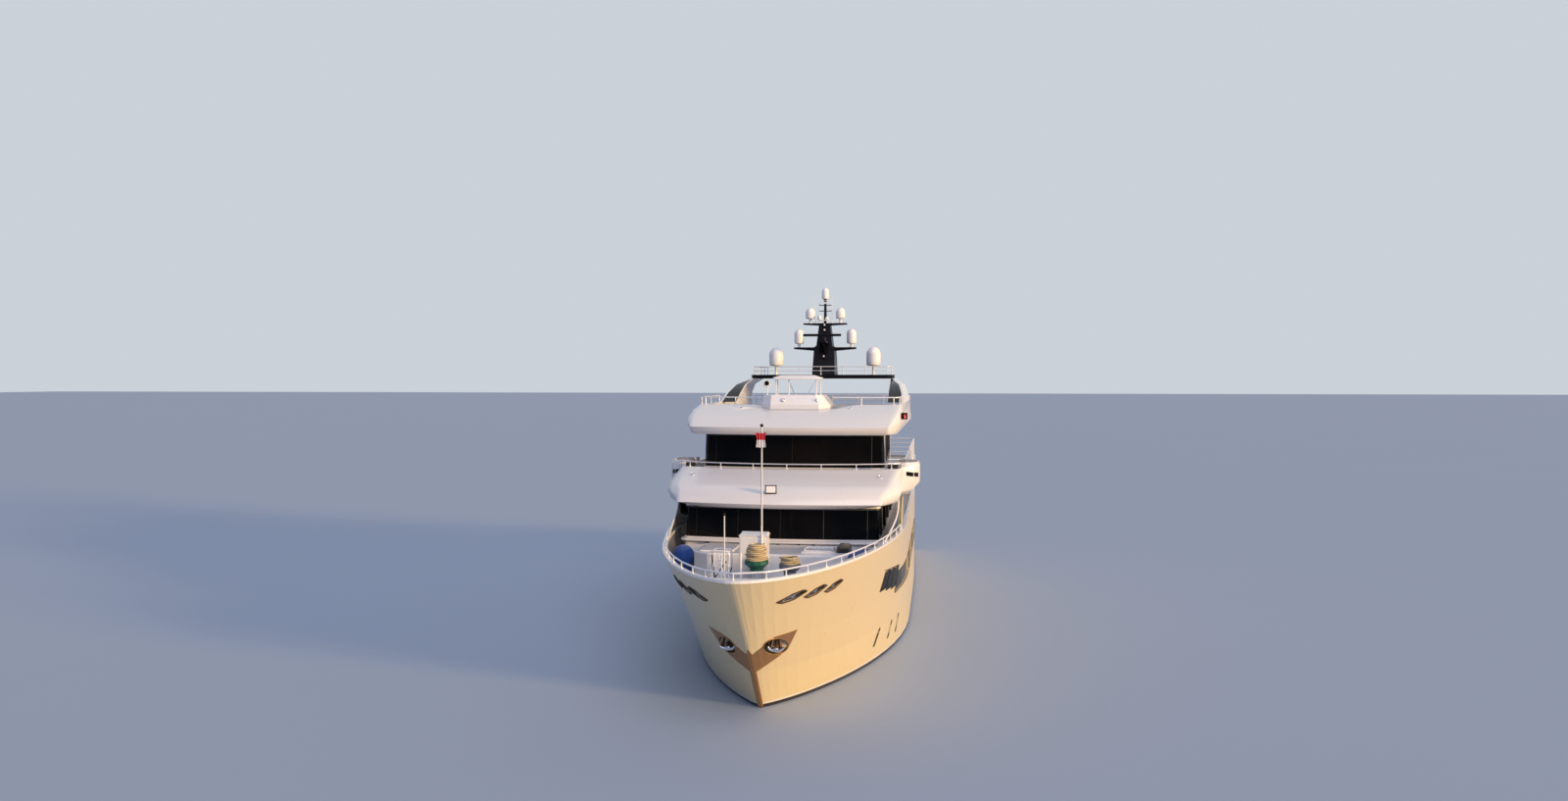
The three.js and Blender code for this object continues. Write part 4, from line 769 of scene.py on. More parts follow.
def window_outline(span, heights, corner, step=0.5):
    """Y and Z pairs round a window with rounded corners."""
    (y0, y1), (z0, z1) = span, heights
    count = max(2, round((y1 - y0) / step))
    low = [Vector((y0 + (y1 - y0) * i / count, z0, 0)) for i in range(count + 1)]
    high = [Vector((point.x, z1, 0)) for point in reversed(low)]
    return [(point.x, point.y) for point in rounded([*low, *high], corner, 3, closed=True)]


def capsule(y, z, half_width, half_height, lean=0.0, steps=8):
    """Y and Z pairs round an upright slot with round ends."""
    outline = []
    for sign in (1, -1):
        for k in range(steps + 1):
            angle = math.pi * k / steps
            up = sign * (half_height - half_width + half_width * math.sin(angle))
            outline.append((y + sign * half_width * math.cos(angle) + lean * up, z + up))
    return outline


def face_frame(place, normal, up=UP):
    """Frame on a surface: X across, Y up along it, Z outward."""
    normal = Vector(normal).normalized()
    across = Vector(up).cross(normal).normalized()
    frame = Matrix((across, normal.cross(across), normal)).transposed().to_4x4()
    frame.translation = place
    return frame


# Outlines of the houses and decks, as in the solids: each plan at its foot and at its head
UPPER_HOUSE = {
    "z": (FOREDECK_Z, 6.37), "front": (-10.85, -10.55), "half": (3.86, 3.82), "aft_half": (3.8, 3.8),
    "aft": (8.0, 8.0), "camber": (0.25, 0.25), "rx": (0.18, 0.18), "ry": (0.26, 0.26),
}
BRIDGE_HOUSE = {
    "z": (BRIDGE_Z, 8.98), "front": (-7.55, -7.2), "half": (3.83, 3.79), "aft_half": (3.5, 3.46),
    "aft": (5.0, 5.0), "camber": (0.3, 0.3), "rx": (0.18, 0.18), "ry": (0.26, 0.26),
}
BRIDGE_CREST = {"z": 7.62, "front": -8.95, "half": 4.6, "aft_half": 4.64, "camber": 0.75, "rx": 0.45,
                "ry": 0.65, "aft": 12.0}
SUN_CREST = {"z": 10.12, "front": -5.75, "half": 4.42, "aft_half": 4.45, "camber": 0.35, "rx": 0.3,
             "ry": 0.35, "aft": 9.0}
HARDTOP = {"z": 11.44, "front": 3.15, "half": 3.75, "aft_half": 3.6, "camber": 0.2, "rx": 0.35,
           "ry": 0.7, "aft": 7.8}
CORNER_PARTS = (0, 0.25, 0.5, 0.75, 1)
FRONT_PARTS = (-2 / 3, -1 / 3, 0, 1 / 3, 2 / 3)


def mirrored(points):
    return [Vector((-point.x, point.y, point.z)) for point in reversed(points)]


def plan_ring(plan, z, inset=0.0):
    """Outline from the starboard after corner round the front to the port after corner."""
    flat = plan["half"] - plan["rx"]
    corner = [Vector((-flat - (plan["rx"] - inset) * math.cos(part * math.pi / 2),
                      plan["front"] + plan["camber"] + plan["ry"]
                      - (plan["ry"] - inset) * math.sin(part * math.pi / 2), z)) for part in CORNER_PARTS]
    front = [Vector((part * flat, plan["front"] + inset + plan["camber"] * part ** 2, z))
             for part in FRONT_PARTS]
    after = Vector((inset - plan["aft_half"], plan["aft"] - inset, z))
    starboard = [after, *corner]
    return [*starboard, *front, *mirrored(starboard)]


def band_path(house, z, aft_y, inset=0.0):
    """Round a house at a height, from aft_y on the starboard side to aft_y on the port side."""
    foot, head = house["z"]
    share = (z - foot) / (head - foot)
    plan = {key: low + (high - low) * share for key, (low, high) in house.items() if key != "z"}
    after, corner, *rest = plan_ring(plan, z, inset)[:-1]
    start = after.lerp(corner, (aft_y - after.y) / (corner.y - after.y))
    return [start, corner, *rest, Vector((-start.x, start.y, z))]


def along_front(path, x):
    """The point of a path's front at an X."""
    for a, b in zip(path, path[1:]):
        if a.x <= x <= b.x and a.x < b.x:
            return a.lerp(b, (x - a.x) / (b.x - a.x))
    raise ValueError(x)


def deck_edge(plan, inset, aft_y, side_steps, drop=0.0):
    """(path, posts) of a rail from aft_y to starboard round the front to port."""
    after, corner, *front = plan_ring(plan, plan["z"] - drop, inset)[:-2]
    side = [after.lerp(corner, (y - after.y) / (corner.y - after.y))
            for y in (aft_y + (corner.y - aft_y) * i / side_steps for i in range(side_steps + 1))]
    posts = side if side_steps > 1 else side[:1]
    return [*side, *front, *mirrored(side)], [*posts, *front[3:-3], *mirrored(posts)]


def after_edge(half, z, fore_y, aft_y, side_steps, across_steps):
    """(path, posts) of a rail round the after end of a deck."""
    side = [Vector((-half, fore_y + (aft_y - fore_y) * i / side_steps, z)) for i in range(side_steps + 1)]
    across = [Vector((-half + 2 * half * i / across_steps, aft_y, z)) for i in range(1, across_steps)]
    path = [*side, *across, *mirrored(side)]
    return path, path


# The hull's upper edge: stem, length of its entry, half breadth, and the run aft that narrows
STEM_Y = -19.95
ENTRY = 14
HULL_HALF = 4.7
RUN_Y = 6
RUN = 12.6


def sheer_half(y):
    """Half breadth of the hull at its upper edge."""
    entry = 1 - (1 - min(max(y - STEM_Y, 0) / ENTRY, 1)) ** 2
    stern = 1 - 0.1 * max(0, (y - RUN_Y) / RUN) ** 2
    return max(stern * HULL_HALF * entry ** 0.58, 0.045)


# Y of the wings' front and after faces
WING_Y = (-7.4, -5.4)

# Edges of the two decks' fronts: height, Y of the front, half breadth, camber, corner radii, crease, drop
BRIDGE_FRONT = (
    (6.48, -11.6, 4.25, 0.35, 1.3, 1.9, (3.85, -11.25), 0.13),
    (6.62, -11.75, 4.5, 0.35, 1.0, 1.5, (3.9, -11.38), 0.08),
    (6.85, -11.6, 4.6, 0.4, 0.8, 1.2, (3.95, -11.16), 0.0),
    (7.15, -10.7, 4.62, 0.42, 0.6, 0.8, (4.2, -10.22), 0.0),
)
SUN_FRONT = (
    (9.2, -8.65, 4.33, 0.35, 0.6, 1.3, (4.05, -8.26), 0.12),
    (9.34, -8.75, 4.42, 0.35, 0.42, 0.9, (4.13, -8.37), 0.06),
    (9.62, -8.0, 4.45, 0.2, 0.38, 0.6, (4.26, -7.76), 0.0),
)
CREASE_BEVEL = 0.12

# Places within this distance are taken as the same corner
SAME = 0.003

# Corners of the wings' section, as X and Z in the solid and in the copy
WING_BENDS = (
    ((5.25, 6.6), (5.25, 7.0)),
    ((5.0, 6.6), (5.02, 6.8)),
    ((5.05, 6.48), (4.9, 6.62)),
    ((5.0, 6.48), (4.86, 6.6)),
    ((5.16, 6.65), (5.15, 7.06)),
    ((5.0, 6.65), (4.88, 6.66)),
    ((5.25, 7.7), (5.25, 7.66)),
)


def creased_front(levels):
    """Draws the round corners of a deck's front out to a crease, and its lowest edge down."""
    def shift(place):
        for z, front, half, camber, rx, ry, crease, drop in levels:
            centre_x, centre_y = half - rx, front + camber + ry
            if abs(place.z - z) > SAME or place.y > centre_y + 0.01:
                continue
            across, ahead = abs(place.x) - centre_x, centre_y - place.y
            turn = math.atan2(max(ahead, 0.0) / ry, across / rx) / (math.pi / 2)
            if across > 1e-4 and 0.05 < turn < 0.95:
                corner = Vector((*crease, place.z))
                to_side = (Vector((half, centre_y, place.z)) - corner).normalized()
                to_front = (Vector((centre_x, front + camber, place.z)) - corner).normalized()
                offset = to_side if turn < 0.4 else to_front if turn > 0.6 else (to_side + to_front) * 0.3
                moved = corner + offset * CREASE_BEVEL
                place = Vector((math.copysign(moved.x, place.x), moved.y, place.z))
            place.z -= drop
            break
        return place
    return shift


def bridge_deck_shape(place):
    if WING_Y[0] - 0.01 < place.y < WING_Y[1]:
        for (x, z), (new_x, new_z) in WING_BENDS:
            if abs(abs(place.x) - x) < SAME and abs(place.z - z) < SAME:
                return Vector((math.copysign(new_x, place.x), place.y, new_z))
    return creased_front(BRIDGE_FRONT)(place)


reshaped("bridge_deck", bridge_deck_shape)
reshaped("sundeck", creased_front(SUN_FRONT))


# Cords: the two hawsers, coiled on their drums level upon level
# The rope's diameter and lay, the rise of a level, the pitch of the turns, and the steps along them
HAWSER = 0.06
LAY_LENGTH = 0.21
LEVEL_RISE = HAWSER * 1.02
TURN_PITCH = 1.03
COIL_STEP = 0.018
COIL_START = 0.6
CLIMB_STEPS = 14


def coil_route(centre, inner, outer, levels, shrink):
    """Flat spirals out and in, one upon another, the turns a diameter apart and a little uneven."""
    x, y, z = centre
    points = []
    angle = COIL_START
    height = z + HAWSER / 2
    low = inner + HAWSER / 2

    def rim(level):
        return outer - HAWSER / 2 - shrink * (level / levels) ** 2.5

    def put(radius, lift, level):
        uneven = 0.018 * math.sin(3 * angle + level * 1.9) + 0.012 * math.sin(2 * angle - level)
        wave = 0.006 * math.sin(2 * angle + 1.3)
        reach = radius + uneven
        place = (x + reach * math.cos(angle), y + reach * math.sin(angle), height + lift + wave)
        points.append(Vector(place))

    for level in range(levels):
        high = rim(level)
        turns = max(0.5, math.floor((high - low) / (HAWSER * TURN_PITCH) * 2) / 2)
        start, end = (low, high) if level % 2 == 0 else (high, low)
        run = 0.0
        while run < 2 * math.pi * turns:
            radius = start + (end - start) * run / (2 * math.pi * turns)
            put(radius, 0.0, level)
            run += COIL_STEP / radius
            angle += COIL_STEP / radius
        if level + 1 < levels:
            following = rim(level + 1) if level % 2 == 0 else low
            for step in range(CLIMB_STEPS):
                part = (1 - math.cos(math.pi * step / CLIMB_STEPS)) / 2
                put(end + (following - end) * part, part * LEVEL_RISE, level + part)
                angle += COIL_STEP / end
            height += LEVEL_RISE
    return points


def laid_rope(points, sides=12):
    """Three strands laid round each other along the points."""
    rings = []
    normal = UP.copy()
    travelled = 0.0
    last = len(points) - 1
    for i, point in enumerate(points):
        tangent = (points[min(i + 1, last)] - points[max(i - 1, 0)]).normalized()
        normal = (normal - tangent * normal.dot(tangent)).normalized()
        side = tangent.cross(normal)
        travelled += (point - points[i - 1]).length if i else 0.0
        twist = 2 * math.pi * travelled / LAY_LENGTH
        ring = []
        for part in around(sides):
            size = HAWSER / 2 * (0.80 + 0.20 * abs(math.cos(1.5 * part)) ** 0.6)
            ring.append(point + (normal * math.cos(part + twist) + side * math.sin(part + twist)) * size)
        rings.append(ring)
    return Form().skin(rings)


def length_of(points):
    return sum((b - a).length for a, b in zip(points, points[1:]))


def coil_hawser(name, node, centre, inner, outer, levels, shrink):
    points = coil_route(centre, inner, outer, levels, shrink)
    rope = piece(name, laid_rope(points), ROPE, replaces=(node,), angle=math.radians(70))
    end = Form().tube([points[-6], points[-3], points[-1]], HAWSER / 2 + 0.002, 14)
    whipping = piece(f"{name}_whipping", end, BLACK_CANVAS)
    round(length_of(points), 2)


coil_hawser("hawser_middle", "hawser_coil_middle", (-0.06, -15.5, 5.1263),
            inner=0.13, outer=0.4, levels=9, shrink=0.12)
coil_hawser("hawser_port", "hawser_coil_port", (1.08, -15.5, 5.0263),
            inner=0.17, outer=0.36, levels=4, shrink=0.03)


# Sheets: the covers on the foredeck and the flag
SKIRT_ROWS = 22


def ripple_at(angle, height, seed):
    return (math.sin(angle * 7 + height * 5 + seed) * 0.5
            + math.sin(angle * 13 - height * 7 + seed * 2) * 0.3
            + math.sin(angle * 23 + height * 11 + seed * 3) * 0.2)


def draped_cover(name, centre, half, heights, power, foot, crown, turn, steps=120):
    """A fitted cover: domed on top, round over the shoulders, with folds that open towards its hem."""
    (x, y), (half_x, half_y), (low, high) = centre, half, heights
    shoulder = high - crown
    dome = [(share, shoulder + crown * (1 - share ** 3)) for share in (0.02, 0.3, 0.55, 0.75, 0.88, 0.96)]
    skirt = [(1.0, shoulder - (shoulder - low) * i / SKIRT_ROWS) for i in range(SKIRT_ROWS + 1)]
    rings = []
    for share, z in [*dome, *skirt]:
        depth = max(0.0, (shoulder - z) / (shoulder - low))
        taper = 1 - (1 - foot) * depth ** 2
        cord_pinch = 0.012 * math.exp(-((z - low - 0.12) / 0.03) ** 2)
        ring = []
        for angle in around(steps):
            c, s = math.cos(angle), math.sin(angle)
            give = 0.014 * ripple_at(angle, z, x) * (0.25 + depth) - cord_pinch - 0.016
            across = (half_x * taper + give) * share * math.copysign(abs(c) ** (2 / power), c)
            along = (half_y * taper + give) * share * math.copysign(abs(s) ** (2 / power), s)
            dip = 0.006 * ripple_at(angle * 0.5, share * 3, y) * share * (1 - depth)
            ring.append(Vector((x + across, y + along, z + dip)))
        rings.append(ring)
    spin = Matrix.Translation((x, y, 0)) @ Matrix.Rotation(turn, 4, "Z") @ Matrix.Translation((-x, -y, 0))
    rings = [[spin @ point for point in ring] for ring in rings]
    cloth = Form().skin(rings, caps=False)
    cloth.faces.append(tuple(range(steps)))
    hem = piece(f"{name}_drawcord", Form().tube(rings[-1], 0.009, 6, closed=True), BLACK_CANVAS)
    return cloth, hem


def lay_cover(name, node, material, centre, half, heights, power, foot=1.0, crown=0.09,
              turn=0.0):
    cloth, hem = draped_cover(name, centre, half, heights, power, foot, crown, turn)
    cover = piece(name, cloth, material, replaces=(node,) if node else (), angle=math.radians(60))


lay_cover("blue_cover_port", "cover_port", BLUE_CANVAS, centre=(3.2, -12.4), half=(0.29, 0.85),
          heights=(4.075, 5.03), power=6, turn=math.radians(-9))
lay_cover("blue_cover_starboard", "cover_starboard", BLUE_CANVAS, centre=(-3.42, -12.2), half=(0.47, 0.47),
          heights=(4.075, 5.04), power=2, foot=0.7, crown=0.42)
lay_cover("black_cover", None, BLACK_CANVAS, centre=(2.61, -12.1), half=(0.26, 0.6),
          heights=(4.956, 5.2), power=5)


def meander(length, cycles, swing, phase, count):
    """(along, across) pairs of a strip folded to and fro, centred."""
    along = across = 0.0
    places = [(along, across)]
    for i in range(count):
        heading = swing * math.sin(2 * math.pi * cycles * (i + 0.5) / count + phase)
        along += math.cos(heading) * length / count
        across += math.sin(heading) * length / count
        places.append((along, across))
    middle = [sum(column) / len(places) for column in zip(*places)]
    return [(a - middle[0], b - middle[1]) for a, b in places]


# The flag: depth of its hoist and length of its fly, and the middle of its top edge
HOIST = 0.52
FLY = 0.72
FLAG_TOP = Vector((-0.01, -14.885, 9.42))


def limp_flag():
    """A flag that hangs in folds, each row a folded strip in plan."""
    rows, columns = 28, 84
    grid = []
    for row in range(rows + 1):
        down = row / rows
        strip = meander(FLY, 3.0, 1.45 + 0.18 * math.sin(2.2 * down), 0.5 * math.sin(3.0 * down), columns)
        line = []
        for column, (along, across) in enumerate(strip):
            part = column / columns
            sag = 0.035 * math.sin(math.pi * part) * (1 - down) + 0.03 * part * (1 - part)
            spread = 1 - 0.18 * math.sin(math.pi * min(1.0, down * 1.2)) * (0.5 + part / 2)
            line.append(FLAG_TOP + Vector((along * spread, across * 0.75, -HOIST * down - sag)))
        grid.append(line)
    width = columns + 1
    cells = [(r * width + c, r * width + c + 1, (r + 1) * width + c + 1, (r + 1) * width + c)
             for r in range(rows) for c in range(columns)]
    cloth = Form().add([point for line in grid for point in line], cells)
    flag = piece("flag_cloth", cloth, FLAG_CLOTH, replaces=("flag",), angle=math.radians(80))
    halyard = Form().tube([(0.0, -14.83, 9.6), (0.0, -14.842, 9.2), (0.0, -14.845, 6.2)], 0.005, 6)
    line = piece("flag_halyard", halyard, BLACK_CANVAS)


limp_flag()


# Railings: bright round tube in place of the plain rails, with a flange under each post; their brightness is
# a painted sky reflection
TUBE = 0.027


def rail(name, edge, height, bars=(1.0,), lift=0.0, tube=TUBE):
    path, posts = edge
    form = Form()
    for part in bars:
        size = tube if part == 1.0 else tube * 0.7
        form.tube(rounded([point + UP * height * part for point in path], 0.16), size, 10)
    for post in posts:
        foot = post + UP * (lift + 0.0004)
        form.tube([foot, post + UP * height], tube * 0.9, 8)
        form.lathe([*flange(0.05, 0.008, 0.03, 0.02), (tube, 0.05), (0.0, 0.05)], foot, UP, 14)
    return piece(f"{name}_tube", form, RAIL_STEEL_PAINTED_SKY, replaces=(name,))


FRONT_RAIL_AFT_Y = -7.45
FOREDECK_POSTS_Y = (-8.7, -9.9, -11.1, -12.3, -13.4, -14.4, -15.4, -16.3, -17.2, -18.1, -18.9, -19.45)
UPPER_POSTS_Y = (9.1, 10.5, 12.0, 13.5, 14.925)
CAP_RAIL_TOP = 5.27
RAIL_INSET = 0.075


def side_line(places, z):
    return [Vector((RAIL_INSET - sheer_half(y), y, z)) for y in places]


def foredeck_edge():
    side = side_line(FOREDECK_POSTS_Y, CAP_RAIL_TOP)
    path = [*side, Vector((0, -19.84, CAP_RAIL_TOP)), *mirrored(side)]
    return path, path


def upper_deck_edge():
    side = side_line(UPPER_POSTS_Y, FOREDECK_Z)
    across = [Vector((-side[-1].x * part, side[-1].y, side[-1].z)) for part in FRONT_PARTS]
    path = [*side, *across, *mirrored(side)]
    return path, path


AFT_BARS = (0.25, 0.5, 0.75, 1.0)
rail("bridge_deck_rail_front", deck_edge(BRIDGE_CREST, RAIL_INSET, FRONT_RAIL_AFT_Y, 1), 0.2, tube=0.02)
rail("bridge_deck_rail_aft", after_edge(4.54, BRIDGE_Z, 3.1, 11.94, 6, 6), 1.05, AFT_BARS, 0.06)
rail("sundeck_rail_aft", after_edge(4.38, SUN_Z, 7.3, 8.94, 1, 6), 1.05, AFT_BARS, 0.06)
rail("hardtop_rail", deck_edge(HARDTOP, 0.14, 7.5, 4), 0.42, (0.5, 1.0), tube=0.02)
rail("foredeck_rail", foredeck_edge(), 0.2)
rail("upper_deck_rail", upper_deck_edge(), 1.08, AFT_BARS, 0.06)


# The sundeck's front rail: its height, and half the gap that the pod leaves in it
FRONT_RAIL = 0.33
POD_GAP = 1.57


def sundeck_front_rail():
    """Bright sleeves over the rail that is one solid with the sundeck; it stops each side of the pod."""
    path, posts = deck_edge(SUN_CREST, 0.06, -1.3, 2, 0.01)
    top = [point + UP * FRONT_RAIL for point in path]
    form = Form()
    for side in (-1, 1):
        half = [point for point in top if point.x * side > POD_GAP]
        end = along_front(top, side * (POD_GAP + 0.01))
        half = [*half, end] if side < 0 else [end, *half]
        form.tube(rounded(half, 0.16), 0.026, 10)
        form.lathe(drum(0.03, -0.03, 0.03), end, PORT, 12)
    for post in posts:
        if abs(post.x) > POD_GAP:
            form.tube([post, post + UP * FRONT_RAIL], 0.0245, 10)
            form.lathe(flange(0.05, 0.02, 0.026, 0.05, 0.009), post, UP, 14)
    piece("sundeck_front_rail_sleeve", form, RAIL_STEEL_PAINTED_SKY)


sundeck_front_rail()


# Aloft: domes, mast head and radar
HARDTOP_TOP = HARDTOP["z"]
SPREADER_TOPS = (12.91, 14.2)
MAST_Y = 5.4

# Name, X, Y, seat, foot, top and diameter of each pair of domes
DOMES = (
    ("dome_low", 2.6, 5.0, HARDTOP_TOP, 11.93, 12.92, 0.76),
    ("dome_middle", 1.41, 5.35, SPREADER_TOPS[0], 13.11, 13.9, 0.52),
    ("dome_high", 0.81, 5.4, SPREADER_TOPS[1], 14.45, 15.04, 0.51),
)
TOP_DOME = (0.0, MAST_Y, 15.402, 15.497, 16.102, 0.385)

# Side of a dome: share of the radius, and share of the height from its foot to its shoulder
DOME_SIDE = ((0.84, 0), (0.93, 0.05), (0.98, 0.2), (1, 0.44), (0.985, 0.45), (0.985, 0.47), (1, 0.48))


def dome_form(x, y, seat_z, foot, top, diameter):
    """A tapered underside, a straight waist with its joint, and a round crown, on a flanged stem."""
    radius = diameter / 2
    shoulder = top - radius * 1.05
    waist = shoulder - foot
    stem = min(0.09, radius * 0.35)
    crown = [(radius * math.cos(t), shoulder + radius * 1.05 * math.sin(t))
             for t in (math.pi / 2 * k / 10 for k in range(1, 10))]
    profile = [
        (0.0, seat_z + GAP), (stem * 1.7, seat_z + GAP), (stem * 1.7, seat_z + 0.012),
        (stem * 0.75, seat_z + 0.03), (stem * 0.75, foot - 0.03), (radius * 0.6, foot - 0.006),
        *((radius * share, foot + waist * part) for share, part in DOME_SIDE), (radius, shoulder), *crown,
        (0.0, top),
    ]
    return Form().lathe(profile, (x, y, 0), UP, 40)


for name, x, y, *sizes in DOMES:
    for side_name, side in SIDES:
        node = f"{name}_{side_name}"
        piece(f"{node}_shell", dome_form(side * x, y, *sizes), DOME_WHITE, replaces=(node,))
piece("dome_top_shell", dome_form(*TOP_DOME), DOME_WHITE)


def radar_bar():
    """The scanner: a long bar with rounded ends over its turning hub."""
    x, y, z = 0.0, 3.8, 13.44
    form = Form().slab((2.0, 0.12, 0.13), Matrix.Translation((x, y, z + 0.065)), 0.025)
    form.lathe([(0.0, -0.059), (0.07, -0.059), (0.07, -0.02), (0.1, 0.0), (0.0, 0.01)], (x, y, z), UP, 24)
    piece("radar_bar", form, BLACK_PAINT, "radar_scanner", replaces=("radar_scanner",))


def mast_head():
    """White sensors and lamps on the upper spreader, whips, and lamps down the front of the tower."""
    top = SPREADER_TOPS[1]
    white = Form()
    for x, radius, height in ((-0.30, 0.12, 0.42), (0.10, 0.09, 0.34)):
        white.lathe([(0.0, 0.0), (0.03, 0.0), (0.03, 0.16), (radius, 0.2), (radius, height - 0.05),
                     (radius * 0.6, height), (0.0, height + 0.02)], (x, 5.25, top), UP, 20)
    white.slab((0.5, 0.12, 0.05), Matrix.Translation((-0.1, 5.25, top + 0.15)), 0.015)
    white.lathe(drum(0.05, 0.0, 0.12, 0.14), (0.0, 5.33, 15.28), AHEAD, 14)
    for z in (14.9, 15.21):
        for x in (-0.3, 0.3):
            white.lathe([(0.0, 0.0), (0.02, 0.0), (0.025, 0.07), (0.0, 0.09)], (x, MAST_Y, z - 0.02), UP, 12)
    piece("mast_sensors", white, DOME_WHITE)
    whips = Form()
    for x, reach in ((-0.52, -0.12), (0.36, 0.0)):
        foot = Vector((x, MAST_Y, top))
        whips.lathe([(0.0, 0.0), (0.035, 0.0), (0.022, 0.12), (0.0, 0.12)], foot, UP, 12)
        whips.tube([foot + UP * 0.1, foot + Vector((reach, 0, 1.5))], 0.009, 8)
    piece("mast_whips", whips, GELCOAT)
    lamps, lenses = Form(), Form()
    for z, y in ((12.35, 4.62), (13.75, 4.97), (14.02, 5.02)):
        lamps.box((-0.06, y - 0.14, z - 0.015), (0.06, y + 0.05, z + 0.0), 0.004)
        lamps.lathe([(0.0, 0.0), (0.05, 0.0), (0.05, 0.03), (0.035, 0.03)], (0, y - 0.08, z), UP, 16)
        lamps.lathe([(0.05, 0.13), (0.05, 0.15), (0.0, 0.16)], (0, y - 0.08, z), UP, 16)
        lenses.lathe(drum(0.042, 0.02, 0.135), (0, y - 0.08, z), UP, 16)
    piece("mast_lamps", lamps, BLACK_PAINT)
    piece("mast_lamp_lenses", lenses, CLEAR_LENS)


radar_bar()
mast_head()


# Windows: trims, gaskets and joints of the glass
GLASS_INSET = 0.062
UPPER_BAND = (UPPER_WINDOW_Z, 6.6)
BRIDGE_BAND = (BRIDGE_WINDOW_Z, -6.75)
MAIN_WINDOWS_Y = ((-8.25, -3.2), (-2.7, 2.35), (2.85, 7.9))
MAIN_WINDOW_Z = (2.7, 3.52)
SIDE_WINDOW_Y = (-5.2, 4.0)
JOINT_HALF = 0.007

# Fore edge, foot and head of each pane in the bow, and their length
BOW_PANES = ((-11.02, 3.25, 3.98), (-10.12, 3.13, 3.9), (-9.22, 3.01, 3.82))
BOW_PANE = 0.84

# The eyebrow over those panes: Y of its points, and its height at Y 0 with the rise towards the bow
EYEBROW_Y = (-11.1, -10.5, -9.9, -9.3, -8.7, -8.3)
EYEBROW_Z = 3.07
EYEBROW_RISE = 0.09

# Y, Z and half height of each porthole
PORTHOLES = ((-9.33, 1.13, 0.36), (-7.6, 1.06, 0.36), (-6.35, 1.06, 0.38))
PORTHOLE_HALF = 0.075
PORTHOLE_LEAN = 0.1
TRIM_PROFILE = ((-0.01, 0.0), (0.016, 0.0), (0.022, 0.007), (0.022, 0.033), (0.016, 0.04), (-0.01, 0.04))
BEAD_PROFILE = ((-0.004, 0.0), (0.012, 0.0), (0.012, 0.022), (-0.004, 0.022))


def dress_band(name, house, band, joints, painted_lit_joints):
    """Trims above and below a window band, beads on the glass, and joints between panes; the head trim is
    black as painted shade, and the port side's joints are a lighter grey as painted light.
    """
    (low, high), aft_y = band
    sills, trims, beads = Form(), Form(), Form()
    sills.moulding(band_path(house, low - 0.045, aft_y), TRIM_PROFILE)
    trims.moulding(band_path(house, high + 0.005, aft_y), TRIM_PROFILE)
    foot, head = (band_path(house, z, aft_y - 0.002, GLASS_INSET) for z in (low + 0.001, high - 0.023))
    beads.moulding(foot, BEAD_PROFILE)
    beads.moulding(head, BEAD_PROFILE)
    piece(f"{name}_sill", sills, WHITE_PAINT)
    # The black trim over each band stands for the shadow under the deck above: painted shade
    piece(f"{name}_head_trim_painted_shade", trims, RUBBER)
    piece(f"{name}_bead", beads, RUBBER)
    # The port side's joints get the lighter grey as painted light
    for kind, places, material in (("joint", joints, RUBBER), ("painted_lit_joint", painted_lit_joints, SEALANT_AND_PAINTED_LIGHT)):
        form = Form()
        for x in places:
            rings = []
            for path in (foot, head):
                left, right = (along_front(path, x + reach) for reach in (-JOINT_HALF, JOINT_HALF))
                rings.append([left - AHEAD * 0.01, left + AHEAD * 0.006, right + AHEAD * 0.006,
                              right - AHEAD * 0.01])
            form.skin(rings)
        piece(f"{name}_{kind}", form, material)


# The last list in each call holds the port side's joints, painted lighter as light
dress_band("upper_window", UPPER_HOUSE, UPPER_BAND, (-3.34, -1.67, 0.0), (1.67, 3.34))
dress_band("wheelhouse_window", BRIDGE_HOUSE, BRIDGE_BAND, (-3.29, 0.0), (3.29,))


def side_window_trims():
    """Beads round the long side bands of the lounge."""
    form = Form()
    low, high = BRIDGE_BAND[0]
    for z in (low - 0.03, high + 0.004):
        path = band_path(BRIDGE_HOUSE, z, SIDE_WINDOW_Y[1])
        for side in (-1, 1):
            start = Vector((path[1].x, SIDE_WINDOW_Y[0], z))
            line = [path[0], start] if side < 0 else [Vector((-start.x, start.y, z)), path[-1]]
            form.moulding(line, ((-0.02, 0.0), (0.012, 0.0), (0.012, 0.026), (-0.02, 0.026)))
    piece("lounge_window_bead", form, RUBBER)


def hull_frame(form, side, outline, radius, lift):
    """A bead on the hull along the outline."""
    form.tube([hull_point(side, y, z, lift) for y, z in outline], radius, 8, closed=True)


def hull_windows():
    """Frames of the main deck windows, and the three panes and frames let into the hull ahead of them."""
    beads, panes, frames = Form(), Form(), Form()
    heights = (MAIN_WINDOW_Z[0] - 0.03, MAIN_WINDOW_Z[1] + 0.03)
    for _, side in SIDES:
        for fore, aft in MAIN_WINDOWS_Y:
            hull_frame(beads, side, window_outline((fore - 0.03, aft + 0.03), heights, 0.1), 0.018, 0.004)
        for fore, *pane_heights in BOW_PANES:
            span = (fore, fore + BOW_PANE)
            hull_patch(panes, side, span, pane_heights, 0.004)
            hull_frame(frames, side, window_outline(span, pane_heights, 0.05, 0.2), 0.016, 0.006)
        frames.tube([hull_point(side, y, EYEBROW_Z - EYEBROW_RISE * y) for y in EYEBROW_Y], 0.02, 8)
    piece("main_window_bead", beads, RUBBER)
    piece("bow_window_panes", panes, HULL_GLASS)
    piece("bow_window_frames", frames, RUBBER)


def portholes():
    lights, rims = Form(), Form()
    for _, side in SIDES:
        for y, z, half in PORTHOLES:
            hull_plate(lights, side, capsule(y, z, PORTHOLE_HALF, half, PORTHOLE_LEAN), 0.003)
            rim = capsule(y, z, PORTHOLE_HALF + 0.013, half + 0.013, PORTHOLE_LEAN)
            hull_frame(rims, side, rim, 0.014, 0.002)
    piece("porthole_glass", lights, HULL_GLASS)
    piece("porthole_rims", rims, SEALANT_AND_PAINTED_LIGHT)


